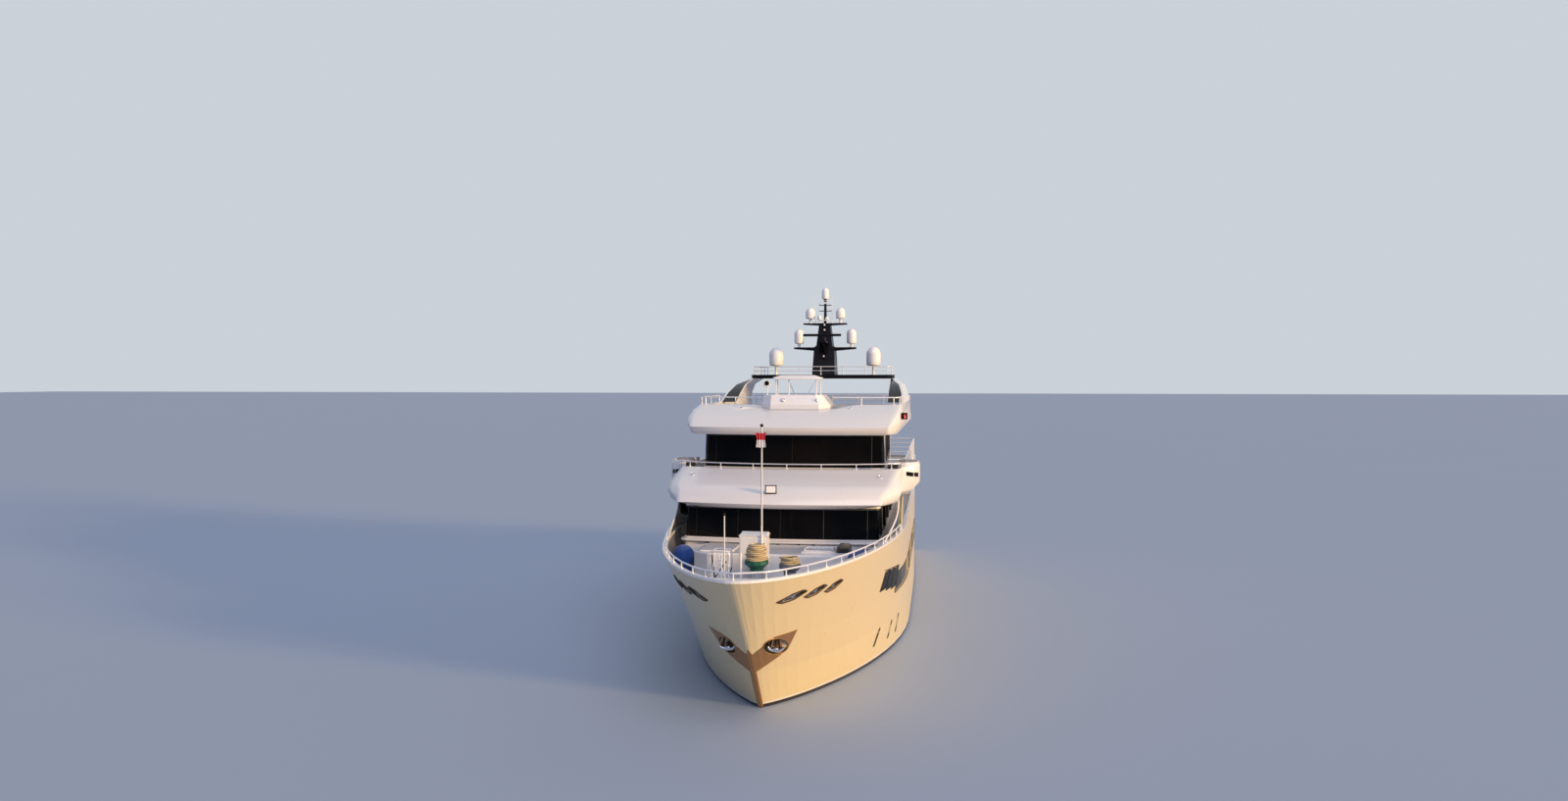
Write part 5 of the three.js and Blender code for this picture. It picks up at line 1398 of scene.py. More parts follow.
side_window_trims()
hull_windows()
portholes()


# Bow: linings of the fairleads and anchor pockets, dark as painted shade, and anchors in their pockets
FAIRLEADS_Y = (-18.0, -17.05, -16.1)
FAIRLEAD_Z = 4.45
FAIRLEAD_OUTLINE = ((-0.4, -0.12), (-0.2, -0.13), (0.12, -0.07), (0.4, 0.13), (0.18, 0.14), (-0.12, 0.07))
BULWARK = 0.15

# The plating is measured along a line of this slope, and this far above and below a fairlead
FAIRLEAD_SLOPE = 0.5
FAIRLEAD_UP = 0.22

ANCHOR_X = 0.8
ANCHOR_Z = 2.56
POCKET_RADIUS = 0.325
POCKET_BACK_Y = -16.35


def widened(outline, reach):
    """The closed outline with its corners moved outward."""
    count = len(outline)
    places = []
    for i, (a, b) in enumerate(outline):
        before, after = outline[i - 1], outline[(i + 1) % count]
        along = Vector((after[0] - before[0], after[1] - before[1])).normalized()
        places.append((a + along.y * reach, b - along.x * reach))
    return places


def finer(outline, parts=3):
    """The closed outline with more points on each side."""
    places = []
    for (a, b), (c, d) in zip(outline, [*outline[1:], outline[0]]):
        places += [(a + (c - a) * k / parts, b + (d - b) * k / parts) for k in range(parts)]
    return places


def fairlead_plane(side, y):
    """Shell X at a fairlead, as a flat fit to the plating round it."""
    fore, aft = (hull_point(side, y + reach, FAIRLEAD_Z + reach * FAIRLEAD_SLOPE).x for reach in (-0.5, 0.5))
    low, high = (hull_point(side, y, FAIRLEAD_Z + reach).x for reach in (-FAIRLEAD_UP, FAIRLEAD_UP))
    flare = (high - low) / (2 * FAIRLEAD_UP)
    entry = aft - fore - flare * FAIRLEAD_SLOPE
    return lambda along, up: (low + high) / 2 + entry * along + flare * up


def fairleads():
    """Linings, rims and rollers of the three fairleads on each bow; the brown linings are painted shade
    inside the openings.
    """
    linings, rims, rollers = Form(), Form(), Form()
    for _, side in SIDES:
        for y in FAIRLEADS_Y:
            shell = fairlead_plane(side, y)
            rings = []
            for share, depth in ((0.985, 0.012), (0.985, BULWARK), (0.93, BULWARK), (0.93, 0.012)):
                rings.append([Vector((shell(a, b) - side * depth, y + a * share, FAIRLEAD_Z + b * share))
                              for a, b in FAIRLEAD_OUTLINE])
            linings.skin(rings, closed=True)
            outline = [(y + a, FAIRLEAD_Z + b) for a, b in finer(widened(FAIRLEAD_OUTLINE, 0.035))]
            hull_frame(rims, side, outline, 0.03, 0.0)
            for a in (-0.14, 0.12):
                ends = [a * 0.3 + end for end in (-0.11, 0.11)]
                bar = [Vector((shell(a, b) - side * 0.09, y + a, FAIRLEAD_Z + b)) for b in ends]
                rollers.tube(bar, 0.03, 10)
    # Brown linings darken the openings' walls: painted shade
    piece("fairlead_painted_shade", linings, FAIRLEAD_BRONZE_AND_SHADE)
    piece("fairlead_rims", rims, FAIRLEAD_BRONZE_AND_SHADE)
    piece("fairlead_rollers", rollers, STAINLESS)


def anchor_pockets():
    # Black linings darken the insides of the anchor pockets: painted shade
    linings, rims = Form(), Form()
    for _, side in SIDES:
        centre = Vector((side * ANCHOR_X, 0, ANCHOR_Z))
        mouth = []
        for angle in around(24):
            spoke = Vector((math.cos(angle), 0, math.sin(angle)))
            place = centre + spoke * 0.352
            hit, normal = seat(("hull",), (place.x, -30, place.z), (0, 1, 0))
            mouth.append((spoke, hit + normal * 0.012))
        rims.tube([place for _, place in mouth], 0.018, 8, closed=True)
        outer = [Vector((centre.x, hit.y + 0.03, ANCHOR_Z)) + spoke * POCKET_RADIUS for spoke, hit in mouth]
        back = [Vector((point.x, POCKET_BACK_Y - 0.001, point.z)) for point in outer]
        inner, front = ([point.lerp(Vector((centre.x, point.y, ANCHOR_Z)), 0.015) for point in ring]
                        for ring in (back, outer))
        linings.skin([outer, back, inner, front], closed=True)
    piece("anchor_pocket_painted_shade", linings, BLACK_PAINT)
    piece("anchor_pocket_rims", rims, GUARD_STEEL_PAINTED_REFLECTION)


def blade(form, root, tip, across, widths, thicknesses):
    """A tapering fluke from its root to its tip, with a ridge down its face."""
    root, tip, across = Vector(root), Vector(tip), Vector(across).normalized()
    ahead = across.cross(tip - root).normalized()
    rings = []
    for part in (0.0, 0.25, 0.55, 0.85, 1.0):
        centre = root.lerp(tip, part)
        width = widths[0] + (widths[1] - widths[0]) * part ** 1.6
        thick = thicknesses[0] + (thicknesses[1] - thicknesses[0]) * part
        rings.append([centre + across * width / 2, centre + ahead * thick / 2, centre - across * width / 2,
                      centre - ahead * thick / 2])
    form.skin(rings)


def anchors():
    """Stockless anchors: a shank out of the pocket, the crown below and two flukes up against the bow."""
    for name, side in SIDES:
        x = side * ANCHOR_X
        back = POCKET_BACK_Y - GAP
        crown_y = back - 0.42
        form = Form()
        form.slab((0.11, 0.13, 0.44), face_frame((x, back - 0.22, ANCHOR_Z), AHEAD), 0.02)
        for reach in (-0.17, 0.17):
            root = (x + reach, crown_y, ANCHOR_Z - 0.1)
            tip = (x + reach * 0.62, crown_y + 0.07, ANCHOR_Z + 0.26)
            blade(form, root, tip, PORT, (0.15, 0.03), (0.1, 0.02))
        piece(f"anchor_{name}_flukes", form, ANCHOR_IRON, replaces=(f"anchor_{name}",))
        arc = [Vector((x + 0.25 * math.sin(t), crown_y - 0.03, ANCHOR_Z - 0.02 - 0.11 * math.cos(t)))
               for t in (math.pi * (k / 12 - 0.5) for k in range(13))]
        crown = Form().tube(arc, 0.05, 12)
        crown.lathe([(0.0, -0.1), (0.075, -0.08), (0.085, 0.0), (0.075, 0.08), (0.0, 0.1)],
                    (x, crown_y, ANCHOR_Z - 0.1), PORT, 16)
        crown.tube([(x, back - 0.1, ANCHOR_Z + 0.07), (x, back - 0.3, ANCHOR_Z + 0.07)], 0.02, 8)
        piece(f"anchor_{name}_crown", crown, STAINLESS)


fairleads()
anchor_pockets()
anchors()


# Foredeck gear
TRUNK_TOP = 4.95
HATCH = ((1.15, 2.25), (-12.75, -11.85))
HATCH_TOP = 5.0006
SILL_Z = 4.98
STAFF_Y = -14.8
CABINET = ((-0.79, 0.18), (-14.77, -14.25), 5.82)
STOPPER = ((-1.65, -0.97), (-15.7, -15.2), 5.42)

# Windlass: radius and height pairs of a capstan, its place, and the radius of its brake wheel
CAPSTAN = (
    (0.0, 0.05), (0.23, 0.05), (0.23, 0.1), (0.2, 0.12), (0.2, 0.17), (0.23, 0.19), (0.23, 0.24), (0.2, 0.29),
    (0.13, 0.38), (0.12, 0.46), (0.13, 0.55), (0.19, 0.63), (0.19, 0.68), (0.17, 0.7), (0.0, 0.7),
)
WINDLASS_Y = -17.2
BRAKE = 0.12

# Leaning tubes: X at the foot and the head, Y at the foot, Z at the head
BRACES = ((-1.95, -1.58, -16.0, 4.95), (-2.1, -1.7, -15.5, 4.7), (-0.78, -1.0, -16.35, 5.0),
          (-1.4, -0.99, -16.3, 4.75))
BOATHOOKS = ((-1.25, -1.55, -16.35, 5.3), (-1.75, -1.05, -16.2, 5.1), (-1.1, -0.86, -16.0, 4.9),
             (-1.9, -1.66, -16.1, 4.8))
LEDGE_PROFILE = ((-0.01, -0.05), (0.10, -0.05), (0.15, -0.03), (0.16, 0.0), (0.15, 0.03), (0.12, 0.045),
                 (-0.01, 0.06))

# X and width of the dark fittings below the ledge
LEDGE_FITTINGS = ((-2.86, 0.16), (-1.54, 0.1), (-0.06, 0.1), (0.74, 0.12), (1.3, 0.14))
FIXED_LID = ((-2.62, -1.4), (-12.95, -11.45))


def windlass():
    """Two capstans with whelped barrels on a plate, each with its chain wheel and brake."""
    y, deck = WINDLASS_Y, FOREDECK_Z + GAP
    form = Form().slab((1.9, 0.7, 0.06), Matrix.Translation((0, y, deck + 0.03)), 0.012)
    for x in (-0.55, 0.55):
        form.lathe(CAPSTAN, (x, y, deck - GAP), UP, 32)
        for angle in around(8):
            frame_of = Matrix.Translation((x, y, deck + 0.46)) @ Matrix.Rotation(angle, 4, "Z")
            form.slab((0.03, 0.03, 0.2), frame_of @ Matrix.Translation((0.13, 0, 0)), 0.008)
        for angle in around(10):
            place = (x + 0.27 * math.cos(angle), y + 0.27 * math.sin(angle), deck + 0.058)
            form.lathe(drum(0.016, 0.0, 0.012, 0.014), place, UP, 6)

        def on_wheel(angle):
            return x + BRAKE * math.cos(angle), y - 0.3, deck + 0.26 + BRAKE * math.sin(angle)

        form.tube([on_wheel(angle) for angle in around(20)], 0.012, 8, closed=True)
        form.tube([(x, y - 0.31, deck + 0.26), (x, y - 0.15, deck + 0.26)], 0.02, 8)
        for angle in (0.5, 2.6, 4.7):
            form.tube([(x, y - 0.3, deck + 0.26), on_wheel(angle)], 0.008, 6)
    piece("windlass_gear", form, STAINLESS, replaces=("windlass",))


def leaning_tubes(form, rows, foot, head_y, radius):
    for x_low, x_high, y_low, z_high in rows:
        form.tube([(x_low, y_low, foot), (x_high, head_y, z_high)], radius, 8)


def stopper_frame():
    """Hoops of bent tube over the chain, with a folded ladder leaning on them."""
    (x0, x1), (y0, y1), top = STOPPER
    form = Form()
    foot = FOREDECK_Z + GAP
    for y in (y0, y1):
        hoop = [(x0, y, foot), (x0, y, top), (x1, y, top), (x1, y, foot)]
        form.tube(rounded(hoop, 0.13, 6), 0.028, 12)
        for x in (x0, x1):
            form.lathe(flange(0.06, 0.01, 0.03, 0.03), (x, y, foot), UP, 14)
    for x in (x0 + 0.12, x1 - 0.12):
        form.tube([(x, y0, top), (x, y1, top)], 0.024, 10)
    for x in (x0, x1):
        form.tube([(x, y0, 4.8), (x, y1, 5.25)], 0.018, 8)
    rails = []
    for x_low, x_high in ((-1.5, -1.45), (-1.12, -1.2)):
        rails.append((Vector((x_low, -16.3, foot)), Vector((x_high, -15.74, 5.36))))
        form.tube(rails[-1], 0.016, 8)
    for part in (0.2, 0.36, 0.52, 0.68, 0.84):
        form.tube([low.lerp(high, part) for low, high in rails], 0.012, 8)
    form.tube(rounded([(-1.62, -16.2, foot), (-1.3, -15.75, 5.2), (-1.0, -15.76, 5.3)], 0.2, 6), 0.014, 8)
    form.tube([(-0.9, -16.15, foot), (-1.32, -15.74, 5.34)], 0.014, 8)
    leaning_tubes(form, BRACES, foot, -15.72, 0.018)
    piece("stopper_tubes", form, RAIL_STEEL_PAINTED_SKY, replaces=("stopper_frame",))
    dark = Form()
    leaning_tubes(dark, BOATHOOKS, foot, -15.74, 0.02)
    dark.box((-1.9, -16.1, foot), (-1.3, -15.8, foot + 0.14), 0.03)
    piece("stowed_boathooks", dark, BLACK_PAINT)


def poles():
    """Smooth sleeves of the flagstaff and the thin pole with their dark balls, and the short white post."""
    white, dark = Form(), Form()
    for x, y, foot, top, radius, ball in ((0.0, STAFF_Y, FOREDECK_Z, 9.7, 0.0395, 0.06),
                                          (-1.0, -16.3, FOREDECK_Z, 6.8, 0.0295, 0.05)):
        neck = top - ball
        white.lathe([(0.0, 0.0004), (radius * 2, 0.0004), (radius * 2, 0.015), (radius, 0.05),
                     (radius * 0.64, neck - foot), (0.0, neck - foot)], (x, y, foot), UP, 20)
        arc = [(ball * math.sin(t), -ball * math.cos(t)) for t in (math.pi * k / 10 for k in range(11))]
        dark.lathe(arc, (x, y, top - ball * 0.95), UP, 20)
    post = (-0.51, -16.0, FOREDECK_Z)
    white.lathe([(0.0, 0.0004), (0.08, 0.0004), (0.08, 0.02), (0.045, 0.05), (0.045, 1.36), (0.055, 1.37),
                 (0.055, 1.39), (0.0, 1.4)], post, UP, 20)
    piece("pole_sleeves", white, GELCOAT)
    piece("pole_balls", dark, BLACK_PAINT)


def deck_cabinet():
    """Lid, doors and handles of the cabinet behind the flagstaff."""
    (x0, x1), (y0, y1), top = CABINET
    white, steel = Form(), Form()
    lid = [Vector((x, y, top)) for x, y in ((x0 - 0.02, y0 - 0.02), (x1 + 0.02, y0 - 0.02),
                                            (x1 + 0.02, y1 + 0.02), (x0 - 0.02, y1 + 0.02))]
    raised = [(x0 + 0.02, y0 + 0.03, top + 0.03), (x1 - 0.02, y0 + 0.03, top + 0.03),
              (x1 - 0.02, y1 - 0.03, top + 0.09), (x0 + 0.02, y1 - 0.03, top + 0.09)]
    white.skin([lid, [point + UP * 0.02 for point in lid], raised])
    middle = (x0 + x1) / 2
    for low, high in ((x0 + 0.03, middle - 0.01), (middle + 0.01, x1 - 0.03)):
        white.box((low, y0 - 0.012, FOREDECK_Z + 0.08), (high, y0 + 0.01, top - 0.06), 0.006)
    for reach in (-0.05, 0.05):
        steel.slab((0.02, 0.12, 0.02), face_frame((middle + reach, y0 - 0.02, 5.2), AHEAD), 0.006)
    piece("cabinet_doors", white, GELCOAT)
    piece("cabinet_handles", steel, STAINLESS)


def trunk_fittings():
    """Raised edges, a fixed lid and the ledge under the windows, with small dark fittings below it."""
    (x0, x1), (y0, y1) = HATCH
    (lid_x0, lid_x1), (lid_y0, lid_y1) = FIXED_LID
    white = Form()
    for left, right, fore, aft, edge in ((lid_x0, lid_x1, lid_y0, lid_y1, 0.02),
                                         (x0 - 0.06, x0 - 0.02, y0 - 0.06, y1 + 0.02, 0.01),
                                         (x1 + 0.02, x1 + 0.06, y0 - 0.06, y1 + 0.02, 0.01),
                                         (x0 - 0.06, x1 + 0.06, y0 - 0.06, y0 - 0.02, 0.01)):
        white.box((left, fore, TRUNK_TOP - 0.005), (right, aft, TRUNK_TOP + 0.045), edge)
    piece("trunk_edges", white, WHITE_PAINT)
    path = band_path(UPPER_HOUSE, SILL_Z, -10.1)
    piece("window_ledge", Form().moulding(path, LEDGE_PROFILE), WHITE_PAINT)
    dark = Form()
    for x, width in LEDGE_FITTINGS:
        y = along_front(path, x).y
        dark.box((x - width / 2, y - 0.14, 4.86), (x + width / 2, y + 0.01, SILL_Z - 0.045), 0.012)
    piece("ledge_fittings", dark, BLACK_PAINT)


def hatch_fittings():
    """Raised edge and handle that ride on the hatch lid."""
    (x0, x1), (y0, y1) = HATCH
    white = Form()
    for low, high in (((x0, y0), (x0 + 0.05, y1)), ((x1 - 0.05, y0), (x1, y1)), ((x0, y0), (x1, y0 + 0.05)),
                      ((x0, y1 - 0.05), (x1, y1))):
        white.box((*low, HATCH_TOP - 0.004), (*high, HATCH_TOP + 0.035), 0.01)
    piece("hatch_edge", white, GELCOAT, "foredeck_hatch")
    x, y, raised = (x0 + x1) / 2, y0 + 0.12, HATCH_TOP + 0.05
    grip = [(x - 0.1, y, HATCH_TOP), (x - 0.1, y, raised), (x + 0.1, y, raised), (x + 0.1, y, HATCH_TOP)]
    steel = Form().tube(rounded(grip, 0.03), 0.01, 8)
    for place in (x - 0.35, x + 0.35):
        low, high = (place - 0.05, y1 - 0.16, HATCH_TOP - 0.002), (place + 0.05, y1 - 0.05, HATCH_TOP + 0.01)
        steel.box(low, high, 0.004)
    piece("hatch_hardware", steel, STAINLESS, "foredeck_hatch")


windlass()
stopper_frame()
poles()
deck_cabinet()
trunk_fittings()
hatch_fittings()


# Superstructure: sign, lamps, wings, pod, canopy and hardtop supports
LAMP_CASE = ((0.0, -0.01), (0.085, -0.01), (0.085, 0.03), (0.065, 0.045), (0.06, 0.03))

# Boards of a side light's screen, from the deck's edge and the lamp's place: X, Y and the upper edge
LIGHT_BOARDS = (
    ((0.0, 0.26), (-0.2, 0.2), -0.105),
    ((-0.02, 0.04), (-0.2, 0.2), 0.14),
    ((0.0, 0.26), (0.17, 0.2), 0.14),
)

# X, upper and lower edge of the slot in a wing's front
WING_SLOT = ((4.72, 7.45, 7.28), (4.86, 7.43, 7.26), (4.995, 7.41, 7.24), (5.08, 7.4, 7.23),
             (5.2, 7.38, 7.21))


def brow_sign():
    """A blank board in a dark frame, standing on the brow."""
    x = -0.23
    foot, _ = seat(("bridge_deck",), (x, -11.42, 9), (0, 0, -1))
    turn = face_frame(foot + UP * 0.17 + AHEAD * 0.01, Vector((0.15, -1, 0.25)))
    piece("sign_frame", Form().slab((0.44, 0.33, 0.03), turn, 0.008), BLACK_PAINT)
    board = turn @ Matrix.Translation((0, 0, 0.012))
    piece("sign_board", Form().slab((0.36, 0.25, 0.012), board, 0.004), GELCOAT)


def small_lamps():
    """Round lamps on the brow, the sundeck's front and the pod."""
    cases, lenses = Form(), Form()
    spots = [(("bridge_deck",), (side * 3.76, -9.3, 12), (0, 0, -1)) for side in (-1, 1)]
    spots += [(("sundeck",), (side * 2.33, -6.3, 14), (0, 0, -1)) for side in (-1, 1)]
    spots += [(("console_pod",), (x, -12, 10.33), (0, 1, 0)) for x in (-0.505, 0.96)]
    for nodes, origin, toward in spots:
        place, normal = seat(nodes, origin, toward)
        cases.lathe(LAMP_CASE, place, normal, 20)
        lenses.lathe([(0.0, 0.0), (0.062, 0.0), (0.058, 0.035), (0.0, 0.05)], place, normal, 20)
    piece("lamp_cases", cases, STAINLESS)
    piece("lamp_lenses", lenses, CLEAR_LENS)


def side_lights():
    """Screens of the side lights on the sundeck's edge: red to port, green to starboard."""
    y, z = -5.8, 9.66
    for name, side, lens in (("port", 1, RED_LENS), ("starboard", -1, GREEN_LENS)):
        edge, _ = seat(("sundeck",), (side * CLEAR_X, y, z), (-side, 0, 0))
        screen = Form()
        for reaches, (fore, aft), top in LIGHT_BOARDS:
            low, high = sorted(edge.x + side * reach for reach in reaches)
            screen.box((low, y + fore, z - 0.13), (high, y + aft, z + top), 0.008)
        piece(f"side_light_screen_{name}", screen, BLACK_PAINT)
        lamp = Form().lathe([(0.0, 0.0), (0.06, 0.0), (0.06, 0.16), (0.045, 0.19), (0.0, 0.19)],
                            (edge.x + side * 0.14, y - 0.02, z - 0.106), UP, 20)
        piece(f"side_light_{name}", lamp, lens)


def wing_details():
    """Black sheets on the front of each wing, painted shade of its slot, and a guard of bent tube round its
    instrument box.
    """
    slots, guards, boxes = Form(), Form(), Form()
    for _, side in SIDES:
        columns = []
        for x, high, low in WING_SLOT:
            ends = [seat(("bridge_deck",), (side * x, -14, z), (0, 1, 0))[0] for z in (high, low)]
            columns.append([*(p + AHEAD * 0.01 for p in ends), *(p - AHEAD * 0.02 for p in reversed(ends))])
        slots.skin(columns)
        for height in (7.82, 7.98):
            guard = [(side * 3.95, -7.9, 7.62), (side * 3.95, -7.9, height), (side * 4.55, -7.75, height),
                     (side * 4.72, -7.3, height), (side * 4.72, -7.1, 7.7)]
            guards.tube(rounded(guard, 0.12, 5), 0.018, 8)
        low, high = sorted((side * 3.98, side * 4.4))
        boxes.box((low, -7.85, 7.55), (high, -7.6, 7.78), 0.02)
    # Black sheets across each wing's slot: painted shade
    piece("wing_slot_painted_shade", slots, BLACK_PAINT)
    piece("wing_guards", guards, STAINLESS)
    piece("wing_instrument_boxes", boxes, RUBBER)


CANOPY_POSTS = ((-1.03, -5.1), (-0.45, -5.15), (0.75, -5.15), (0.88, -4.59), (-1.03, -4.59))
POD_TOP = 10.55

# Height and inset of each level of the canopy's roof, and the ends of the windscreen's stays
CANOPY_ROOF = ((11.21, 0.05), (11.225, 0.015), (11.25, 0.0), (11.28, 0.01), (11.31, 0.05), (11.385, 0.3),
               (11.4, 0.34))
CANOPY_STAYS = (
    ((-0.45, -5.15, 11.2), (-0.12, -5.6, POD_TOP)),
    ((0.75, -5.15, 11.2), (0.42, -5.6, POD_TOP)),
    ((-0.45, -5.15, 11.0), (-0.2, -4.9, POD_TOP)),
)


def pod_canopy():
    """Moulded roof with a rolled edge on round posts, with the stays of its windscreen."""
    white = Form()
    rings = []
    for z, inset in CANOPY_ROOF:
        left, right = -1.15 + inset, 1.0 - inset
        fore, aft = -5.35 + inset * 0.4, -4.45 - inset * 0.4
        loop = [(left, aft, z), (left, fore, z), (right, fore, z), (right, aft, z)]
        rings.append(rounded(loop, 0.1, 4, closed=True))
    white.skin(rings)
    for x, y in CANOPY_POSTS:
        white.tube([(x, y, POD_TOP + GAP), (x, y, 11.26)], 0.027, 12)
        white.lathe(flange(0.055, 0.012, 0.028, 0.03, GAP), (x, y, POD_TOP), UP, 14)
    piece("canopy_roof", white, GELCOAT, replaces=("pod_canopy",))
    stays = Form()
    for top, low in CANOPY_STAYS:
        stays.tube([top, low], 0.014, 8)
        stays.lathe(flange(0.03, 0.01, 0.015, 0.02), low, UP, 10)
    piece("canopy_stays", stays, STAINLESS)


# Searchlight: radius and place along the beam of its case and lens
LIGHT_CASE = ((0.0, 0.15), (0.07, 0.14), (0.112, 0.1), (0.117, -0.12), (0.124, -0.125), (0.124, -0.15),
              (0.108, -0.15), (0.105, -0.132))
LIGHT_LENS = ((0.0, -0.145), (0.107, -0.138), (0.107, -0.132), (0.0, -0.132))


def searchlight():
    x, y, z = -1.3, -5.8, 11.05
    case = Form().lathe(LIGHT_CASE, (x, y, z), -AHEAD, 28)
    fork = [(x - 0.15, y, z), (x - 0.15, y, z - 0.15), (x, y, z - 0.2), (x + 0.15, y, z - 0.15),
            (x + 0.15, y, z)]
    case.tube(rounded(fork, 0.06), 0.014, 8)
    case.lathe([(0.026, -0.4), (0.026, -0.1), (0.04, -0.1), (0.04, -0.06)], (x, y, z - 0.1), UP, 14)
    for reach in (-0.15, 0.15):
        case.lathe(drum(0.025, -0.02, 0.02), (x + reach, y, z), PORT, 12)
    piece("searchlight_case", case, GELCOAT)
    piece("searchlight_lens", Form().lathe(LIGHT_LENS, (x, y, z), -AHEAD, 28), TINTED_GLASS)


# Fronts of the hardtop supports: height, outer X and Y of the edge
SUPPORT_LEVELS = ((10.1203, 4.405, -0.9), (10.55, 4.33, 0.2), (10.95, 4.16, 1.5), (11.2397, 3.69, 3.3))
SUPPORT_INNER = 3.62


def support_panels():
    """Dark glass let into the forward faces of the hardtop supports."""
    panels = Form()
    for _, side in SIDES:
        rings = []
        for z, outer, y in SUPPORT_LEVELS:
            inner = min(SUPPORT_INNER, outer - 0.1) + 0.015
            edge = max(inner + 0.03, outer - 0.09)
            section = ((inner, 0.02), (inner, -0.006), (edge, -0.006), (edge, 0.02))
            rings.append([Vector((side * x, y + depth, z)) for x, depth in section])
        panels.skin(rings)
    piece("support_panels", panels, TINTED_GLASS)


brow_sign()
small_lamps()
side_lights()
wing_details()
pod_canopy()
searchlight()
support_panels()


# Doors: what rides on each leaf, and the surrounds that stay on the walls

# Y of the middle of a wheelhouse door, and Y, Z, width and height of its plates, the lever's plate first
LEAF_Y = -6.0
DOOR_PLATES = ((-5.62, 7.62, 0.05, 0.26), (-6.45, 8.5, 0.05, 0.12), (-6.45, 7.0, 0.05, 0.12))


def wheelhouse_door_fittings():
    for name, side in SIDES:
        node = f"wheelhouse_door_{name}"

        def on_leaf(y, z):
            return face_frame(*seat((node,), (side * CLEAR_X, y, z), (-side, 0, 0)))

        glass = Form().slab((0.6, 0.62, 0.012), on_leaf(LEAF_Y, 8.2), 0.004)
        glass.slab((0.6, 0.06, 0.012), on_leaf(LEAF_Y, 7.8), 0.004)
        piece(f"{node}_light", glass, TINTED_GLASS, node)
        steel = Form()
        for y, z, width, height in DOOR_PLATES:
            steel.slab((width, height, 0.012), on_leaf(y, z), 0.004)
        base = on_leaf(*DOOR_PLATES[0][:2])
        lever = [Vector((0, 0, 0)), Vector((0, 0, 0.045)), Vector((-side * 0.12, 0, 0.045))]
        steel.tube([base @ point for point in lever], 0.009, 8)
        piece(f"{node}_hardware", steel, STAINLESS, node)
        panel = Form().slab((0.62, 0.7, 0.01), on_leaf(LEAF_Y, 7.2), 0.006)
        piece(f"{node}_panel", panel, BROWN_WOOD, node)


# Sliding doors: how deep a leaf's face lies in the wall; then node, Y of the wall's after face, deck, half
# width and top of the doorway
LEAF_DEPTH = 0.128
SLIDING_DOORS = (
    ("saloon_door", 10.5, COCKPIT_Z, 1.0, 3.64),
    ("upper_saloon_door", 8.0, FOREDECK_Z, 1.0, 6.18),
    ("lounge_door", 5.0, BRIDGE_Z, 1.0, 8.78),
)


def sliding_door_fittings():
    surround = Form()
    for node, wall_y, deck, half, top in SLIDING_DOORS:
        face = wall_y - LEAF_DEPTH
        steel = Form()
        for x in (-0.9, 0.06):
            steel.box((x, face - 0.004, deck + 0.85), (x + 0.05, face + 0.002, deck + 1.25), 0.001)
        steel.box((-0.012, face - 0.004, deck + 0.08), (0.012, face + 0.0025, top), 0.001)
        piece(f"{node}_pulls", steel, STAINLESS, node)
        outer = half + 0.075
        for low, high, foot in ((-outer, -half - 0.005, deck + 0.062), (half + 0.005, outer, deck + 0.062),
                                (-outer, outer, top + 0.005)):
            surround.box((low, wall_y - 0.01, foot), (high, wall_y + 0.02, top + 0.075), 0.006)
    piece("door_surrounds", surround, STAINLESS)


# Side screens: Y and height along the swept front edge, and where the glass ends
SCREEN_EDGE = ((-11.9, 5.262), (-11.1, 5.44), (-10.34, 5.61), (-9.56, 5.8), (-9.1, 5.98), (-8.9, 6.15),
               (-8.8, 6.4), (-8.77, 6.62))
SCREEN_AFT = (-8.2, -7.5, -6.8, -6.1, -5.5)
SCREEN_FOOT = 5.262
SCREEN_HEAD = 6.6
SCREEN_LIGHT = ((-8.08, 5.14), (-7.94, 5.5), (-7.55, 5.94), (-6.98, 6.38), (-5.36, 6.38), (-5.56, 5.9),
                (-5.72, 5.14))
FENDER = ((3.6, 18.65), (3.6, 19.6), (3.25, 19.95), (-3.25, 19.95), (-3.6, 19.6), (-3.6, 18.65))
FENDER_PROFILE = ((-0.01, -0.05), (0.02, -0.05), (0.035, 0.0), (0.02, 0.05), (-0.01, 0.05))


def side_screens():
    """Dark glazed screens on the cap rail up to the deck above, with a light swept edge."""
    glass, edges = Form(), Form()
    for _, side in SIDES:
        def at(y, z):
            return Vector((side * min(sheer_half(y) - 0.13, 4.505), y, z))

        outline = [*SCREEN_EDGE, *((y, SCREEN_HEAD) for y in SCREEN_AFT)]
        inward = Vector((-side * 0.012, 0, 0))
        columns = []
        for y, z in outline:
            foot, head = at(y, SCREEN_FOOT), at(y, max(z, SCREEN_FOOT + 0.002))
            columns.append([foot, head, head + inward, foot + inward])
        glass.skin(columns)
        edges.tube(rounded([at(y, z) for y, z in SCREEN_EDGE], 0.12, 3), 0.038, 10)
        for x, depth in ((4.6, 0.006), (4.52, -0.006)):
            face = [[Vector((side * (x + reach), y, z)) for y, z in SCREEN_LIGHT] for reach in (0.0, depth)]
            glass.skin(face)
    piece("side_screen_glass", glass, TINTED_GLASS)
    piece("side_screen_edges", edges, GELCOAT)


def platform_fender():
    """Rubber round the edge of the swim platform."""
    path = [Vector((x, y, 0.42)) for x, y in FENDER]
    piece("platform_fender", Form().moulding(path, FENDER_PROFILE), RUBBER)


wheelhouse_door_fittings()
sliding_door_fittings()
side_screens()
platform_fender()


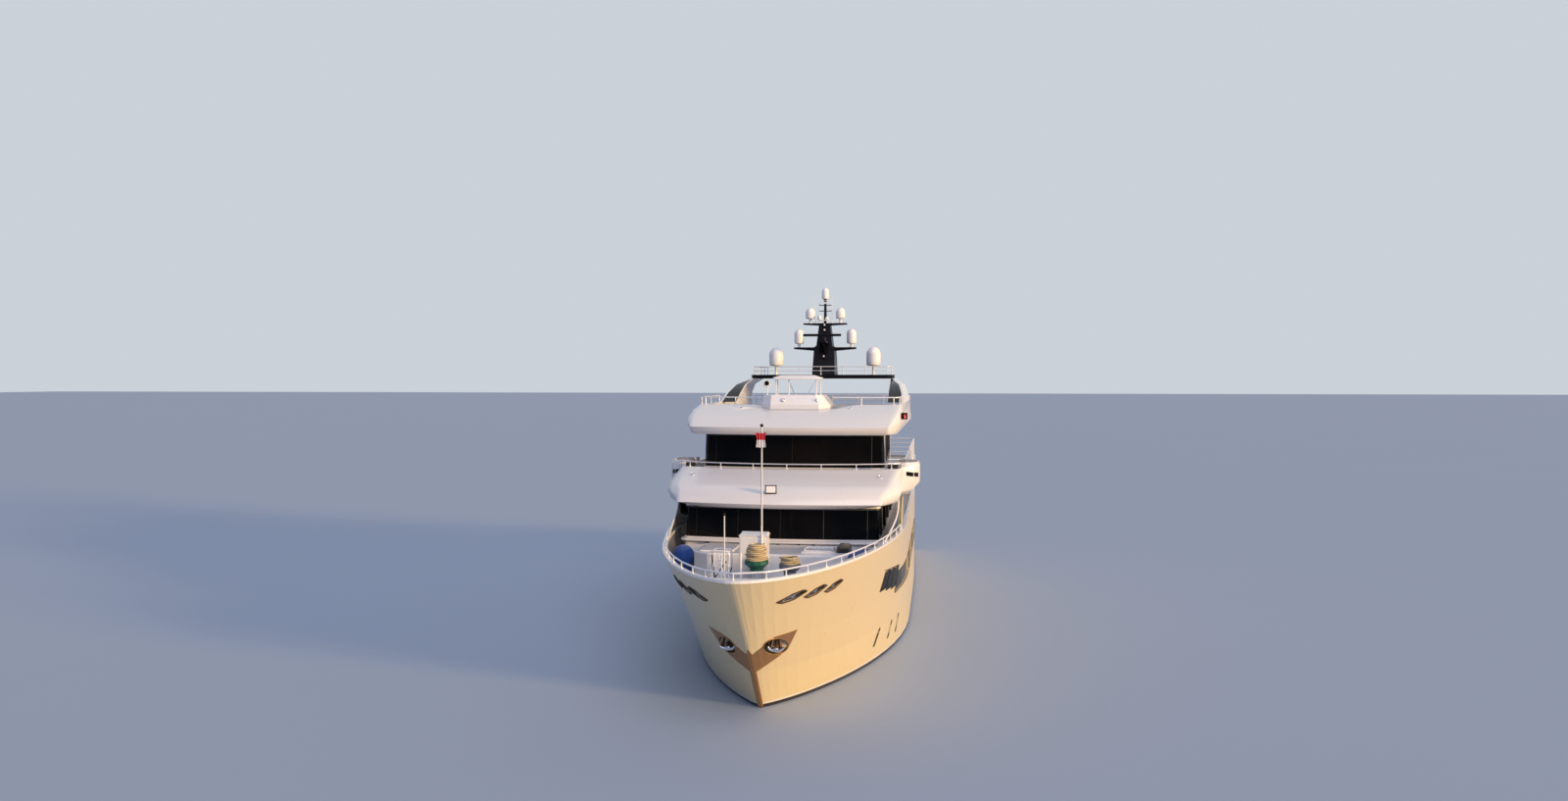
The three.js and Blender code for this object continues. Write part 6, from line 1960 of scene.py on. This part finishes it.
# Stage: a plain pale floor at the waterline, soft warm light from ahead to port, and a dim cool surround
FLOOR_HALF = 700
FLOOR_PAINT = (0.38, 0.44, 0.53)
floor_mesh = bpy.data.meshes.new("floor")
floor_mesh.from_pydata([(x * FLOOR_HALF, y * FLOOR_HALF, 0) for x, y in ((-1, -1), (1, -1), (1, 1), (-1, 1))],
                       [], [(0, 1, 2, 3)])
floor = bpy.data.objects.new("floor", floor_mesh)
SCENE.collection.objects.link(floor)
floor_graph = Graph("pale_floor")
floor_paint = mottled(floor_graph, FLOOR_PAINT, 0.02, 0.05)
floor_mesh.materials.append(floor_graph.finish(floor_paint, 0.95, Specular_IOR_Level=0.1))

SURROUND = (0.42, 0.56, 0.95)
SURROUND_STRENGTH = 0.30
BACKDROP = (0.60, 0.64, 0.69)
BACKDROP_FROM = 0.1
BACKDROP_FULL = 0.6


def make_world():
    """A dim cool surround, paler behind the yacht as seen from ahead."""
    world = bpy.data.worlds.new("studio")
    world.use_nodes = True
    tree = world.node_tree
    background = tree.nodes["Background"]
    kinds = ("TexCoord", "SeparateXYZ", "MapRange", "Mix")
    place, split, ramp, mix = (tree.nodes.new(f"ShaderNode{kind}") for kind in kinds)
    mix.data_type = "RGBA"
    tree.links.new(place.outputs["Generated"], split.inputs[0])
    tree.links.new(split.outputs["Y"], ramp.inputs["Value"])
    ramp.inputs["From Min"].default_value = BACKDROP_FROM
    ramp.inputs["From Max"].default_value = BACKDROP_FULL
    tree.links.new(ramp.outputs["Result"], mix.inputs["Factor"])
    mix.inputs["A"].default_value = (*(part * SURROUND_STRENGTH for part in SURROUND), 1)
    mix.inputs["B"].default_value = (*BACKDROP, 1)
    tree.links.new(mix.outputs["Result"], background.inputs["Color"])
    background.inputs["Strength"].default_value = 1.0
    return world


def add_sun(name, toward, strength, color, softness):
    light = bpy.data.lights.new(name, "SUN")
    light.energy = strength
    light.color = color
    light.angle = math.radians(softness)
    lamp = bpy.data.objects.new(name, light)
    lamp.rotation_euler = Vector(toward).to_track_quat("Z", "Y").to_euler()
    SCENE.collection.objects.link(lamp)


SCENE.world = make_world()
add_sun("key", toward=(0.92, -0.36, 0.14), strength=3.6, color=(1.0, 0.66, 0.28), softness=8)
add_sun("fill", toward=(0.28, -0.66, 0.7), strength=1.4, color=(0.89, 0.88, 1.0), softness=50)
